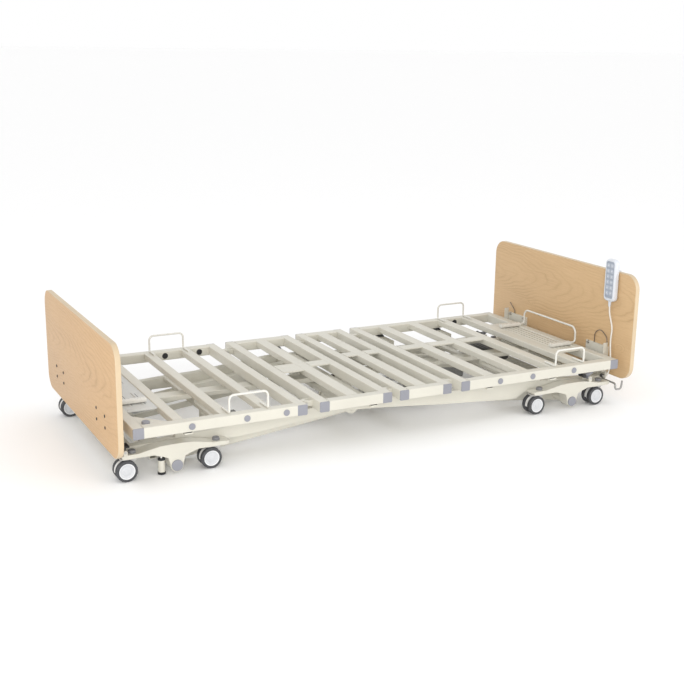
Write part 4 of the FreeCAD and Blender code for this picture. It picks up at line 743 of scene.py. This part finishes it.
def actuator(node, lane, tail_x, block, tube_end, housing, sleeve):
    """One actuator's fixed half along X: the housing next to its tail pin, then the tube to tube_end."""
    way = 1 if tube_end > tail_x else -1
    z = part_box(node)[1].z - MOTOR_ABOVE
    start = tail_x + way * TAIL_GAP
    end = start + way * block
    bm = bmesh.new()
    motor_block(bm, lane, z, start, way, block)
    motor_fittings(bm, lane, z, start, way, block, tail_x)
    outer_tube(bm, lane, z, end, way, abs(tube_end - end), sleeve == "ribbed")
    piece(make_object(f"{node}_unit", bm, [housing, sleeve, "zinc"]), "frame", "dark_plastic", node)


CASE_X, CASE_Y, CASE_Z = (0.660, 0.820), (0.020, 0.150), (0.108, 0.156)
VENTS, VENT_PITCH = 7, 0.0175


def control_box():
    """Case with a parting groove, vents and a base plate, and the cord's socket on the right rail."""
    (x0, x1), (y0, y1), (z0, z1) = CASE_X, CASE_Y, CASE_Z
    bm = bmesh.new()
    profile = [(z0, 0.003), (z0 + 0.002, 0.0005), (z0 + 0.004, 0.0), (z0 + 0.018, 0.0),
               (z0 + 0.0188, 0.0010), (z0 + 0.0202, 0.0010), (z0 + 0.021, 0.0), (z1 - 0.004, 0.0),
               (z1 - 0.0015, 0.0010), (z1, 0.0035)]
    slab(bm, (x0, x1, y0, y1), 0.008, "z", profile, 6)
    vent = soft_profile(z1 - 0.0004, z1 + 0.0012, 0.0006)
    for i in range(VENTS):
        x = x0 + 0.028 + VENT_PITCH * i
        slab(bm, (x - 0.003, x + 0.003, y0 + 0.02, y1 - 0.02), 0.002, "z", vent, 3)
    base = soft_profile(z0 - 0.004, z0, 0.0008)
    slab(bm, (x0 + 0.004, x1 - 0.004, y0 + 0.004, y1 - 0.004), 0.006, "z", base, 4)
    socket = [(0.0, 0.0), (0.0033, 0.0), (0.0050, -0.0005), (0.0072, -0.001), (0.0080, 0.001),
              (0.0080, 0.0118), (0.0, 0.0118)]
    lathe(bm, socket, CORD_ROUTE[-1], "y", 28)
    piece(make_object("control_case", bm, ["graphite"]), "frame", "dark_plastic", "control_box")


# ---- deck panels ------------------------------------------------------------------------------
SHEET_BASE, SHEET_TOP = 0.1950, 0.1990


def pressed_rib(bm, place, x_half, y_range, radius, height, edge, steps):
    """A raised channel along Y on a sheet."""
    profile = soft_profile(SHEET_TOP - 0.0006, SHEET_TOP + height, edge)
    slab(bm, (place - x_half, place + x_half, *y_range), radius, "z", profile, steps)


def painted_shade_slot(bm, x_range, y_range, radius):
    """A slot drawn as a strip of painted shade just above the sheet, standing in for the dark opening."""
    profile = [(SHEET_TOP - 0.0005, 0.0), (SHEET_TOP + 0.0002, 0.0)]
    slab(bm, (*x_range, *y_range), radius, "z", profile, 3, 1, 1)


def foot_sheet():
    """Pale sheet between the end tube and the first slat, with pressed channels and slots; the slots are
    black strips of painted shade.
    """
    low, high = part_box("foot_panel")
    bm = bmesh.new()
    slab(bm, (low.x, high.x, low.y, high.y), 0.008, "z", soft_profile(SHEET_BASE, SHEET_TOP, 0.0008), 5)
    for dx, y0, y1 in ((0.030, -0.215, 0.215), (0.078, -0.215, -0.060), (0.078, 0.060, 0.215)):
        x = low.x + dx
        pressed_rib(bm, x, 0.0045, (y0, y1), 0.004, 0.0016, 0.0010, 5)
        # each slot is a black strip of painted shade, not an opening
        painted_shade_slot(bm, (x + 0.0060, x + 0.0080), (y0 + 0.01, y1 - 0.01), 0.0009)
    lip = soft_profile(SHEET_TOP - 0.0006, SHEET_TOP + 0.0020, 0.0010)
    for y in (low.y + 0.012, high.y - 0.012):
        slab(bm, (low.x + 0.006, high.x - 0.006, y - 0.0035, y + 0.0035), 0.003, "z", lip, 4)
    piece(make_object("foot_sheet", bm, ["sheet", "black"]), "leg_section", "frame_paint", "foot_panel")


def head_sheet():
    """Cream sheet with long pressed ribs, each with three fine drain slots beside it, drawn as dark brown
    strips of painted shade.
    """
    low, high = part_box("head_panel")
    bm = bmesh.new()
    slab(bm, (low.x, high.x, low.y, high.y), 0.008, "z", soft_profile(SHEET_BASE, SHEET_TOP, 0.0008), 5)
    pitch = (high.x - low.x) / 5
    for i in range(4):
        x = low.x + pitch * (i + 1)
        pressed_rib(bm, x, 0.0048, (-0.205, 0.205), 0.0045, 0.0020, 0.0012, 6)
        for y in (-0.136, 0.0, 0.136):
            painted_shade_slot(bm, (x + 0.0060, x + 0.0092), (y - 0.061, y + 0.061), 0.0014)
    # the second colour, dark brown, is painted shade in the drain slots
    sheet = make_object("head_sheet", bm, ["cream", "bronze_wire_and_slot_shade"])
    piece(sheet, "back_section", "frame_paint", "head_panel")


# ---- weld beads -------------------------------------------------------------------------------
def bead(bm, start, end, out, radius=0.0019):
    """A short weld fillet from start to end, lumpy like hand welding."""
    start, end, out = Vector(start), Vector(end), Vector(out).normalized()
    along = (end - start).normalized()
    side = along.cross(out).normalized()
    count = max(3, int((end - start).length / 0.0022))
    rings = []
    for i in range(count + 1):
        t = i / count
        fade = min(1.0, 6 * min(t, 1 - t) + 0.35)
        r = radius * fade * (0.86 + 0.14 * math.cos(i * math.pi)) * random.uniform(0.94, 1.06)
        centre = start.lerp(end, t)
        rings.append([bm.verts.new(centre + side * (r * math.cos(a)) + out * (r * math.sin(a)))
                      for a in (math.radians(d) for d in (0, 45, 90, 135, 180, 225, 270, 315))])
    skin(bm, rings)
    bm.faces.new(rings[0])
    bm.faces.new(rings[-1])


TUBE, DECK_TOP, DECK_BOTTOM, INNER_Y = 0.038, 0.202, 0.164, 0.4195
SECTIONS = {
    "leg_section": ((-0.996, -0.402), (-0.846, -0.680, -0.525), 0.038),
    "thigh_section": ((-0.315, -0.060), (-0.185,), 0.048),
    "frame": ((0.012, 0.197), (0.104,), 0.048),
    "back_section": ((0.279, 0.996), (0.411, 0.568, 0.722, 0.852), 0.048),
}


def weld_beads():
    """Beads where the slats and cross tubes meet the side tubes."""
    for body, (tubes, slats, width) in SECTIONS.items():
        bm = bmesh.new()
        for sign in SIDES:
            y = sign * INNER_Y
            for x in slats:
                for edge in SIDES:
                    at = x + edge * width / 2
                    bead(bm, (at, y, DECK_TOP - 0.0015), (at, y, DECK_TOP - 0.0235), (edge, -sign, 0))
                under, reach = DECK_TOP - 0.025, width / 2 - 0.003
                bead(bm, (x - reach, y, under), (x + reach, y, under), (0, -sign, -1))
            for x, edge in ((tubes[0], 1), (tubes[1], -1)):
                face = x + edge * TUBE / 2
                bead(bm, (face, y, DECK_TOP - 0.004), (face, y, DECK_BOTTOM + 0.004), (edge, -sign, 0))
                low_y, high_y = sorted((sign * (INNER_Y + 0.003), sign * (INNER_Y + 0.035)))
                bead(bm, (face, low_y, DECK_BOTTOM), (face, high_y, DECK_BOTTOM), (edge, 0, -1), 0.0015)
        piece(make_object(f"{body}_welds", bm, ["cream"]), body, "frame_paint")


# ---- CAD nodes that keep their own shape ------------------------------------------------------
# A second material, for the faces of a node between two heights.
SPLIT_NODES = {"_carriage_caps": ("stem_cap", 0.09, 1.0), "bracket_wires": ("hook_wire", 0.0, 0.145)}


def dress_nodes():
    """Materials of the CAD nodes, by a part of each node's name."""
    keep = {
        "castor_fork": "castor", "_caps": "cap", "_rod": "steel_x", "_pins": "steel_y",
        "_retainers": "wire", "bracket_wires": "bronze_wire_and_slot_shade",
    }
    for name, obj in nodes.items():
        key = next((m for part, m in keep.items() if part in name), "cream")
        obj.data.materials.clear()
        obj.data.materials.append(M[key])
        second, low, high = next((v for part, v in SPLIT_NODES.items() if part in name), (key, 1.0, 1.0))
        obj.data.materials.append(M[second])
        for polygon in obj.data.polygons:
            polygon.material_index = int(low < (obj.matrix_world @ polygon.center).z < high)


PLUG_Z = 0.183
PLUG_X = {"leg_section": (-0.811, -0.612, -0.464), "back_section": (0.437, 0.590, 0.791)}


def plug_mouths():
    """Black mouths of the side sockets, on the inner faces of the side tubes: a black liner rim, and a flat
    black disc across each opening as painted shade of the hole.
    """
    # out to 9 mm a flat disc of painted shade over the hole; beyond it the liner's rim
    liner_and_hole_shade = [(0.0, 0.0), (0.0090, 0.0), (0.0098, -0.0010), (0.0120, -0.0010), (0.0125, 0.0),
             (0.0125, 0.001)]
    for body, places in PLUG_X.items():
        bm = bmesh.new()
        for x in places:
            for sign in SIDES:
                lathe(bm, [(r, sign * h) for r, h in liner_and_hole_shade], (x, sign * INNER_Y, PLUG_Z), "y", 24)
        piece(make_object(f"{body}_plug_mouths", bm, ["black"]), body, "dark_plastic")


FLANGE_X, FLANGE_Y, FLANGE_Z = (1.024, 1.0455), (0.3500, 0.3535), (0.120, 0.2440)


def bracket_flanges():
    """Folded outer edges of the headboard brackets."""
    bm = bmesh.new()
    for sign in SIDES:
        extent = (*sorted(sign * y for y in FLANGE_Y), *FLANGE_Z)
        slab(bm, extent, 0.0015, "x", soft_profile(*FLANGE_X, 0.0006), 3)
    piece(make_object("bracket_flanges", bm, ["cream"]), "frame", "frame_paint")


def stage_floor():
    """Large white floor, shown but not exported."""
    bm = bmesh.new()
    bmesh.ops.create_grid(bm, x_segments=2, y_segments=2, size=300.0)
    M["floor"] = coated("studio_floor", (0.985, 0.985, 0.985), 0.8, 0.0, 40.0, 0.00002)
    floor = make_object("studio_floor", bm, ["floor"])


random.seed(5)
camera()
handset_cord()
dress_nodes()
end_board("headboard", "oak_head")
end_board("footboard", "oak_foot")
castors()
stabilisers()
foot_pedals()
head_levers()
rest_pads()
board_bolts()
handset()
handset_keys()
actuator("foot_lift_motor", -0.100, -0.640, 0.120, -0.203654, "motor", "alloy")
actuator("head_lift_motor", 0.110, 0.640, 0.120, 0.191654, "motor", "alloy")
actuator("back_motor", 0.160, -0.090, 0.080, 0.141, "graphite", "ribbed")
actuator("knee_motor", -0.060, 0.340, 0.090, 0.046476, "motor", "alloy")
control_box()
foot_sheet()
head_sheet()
weld_beads()
plug_mouths()
bracket_flanges()
studio()
stage_floor()
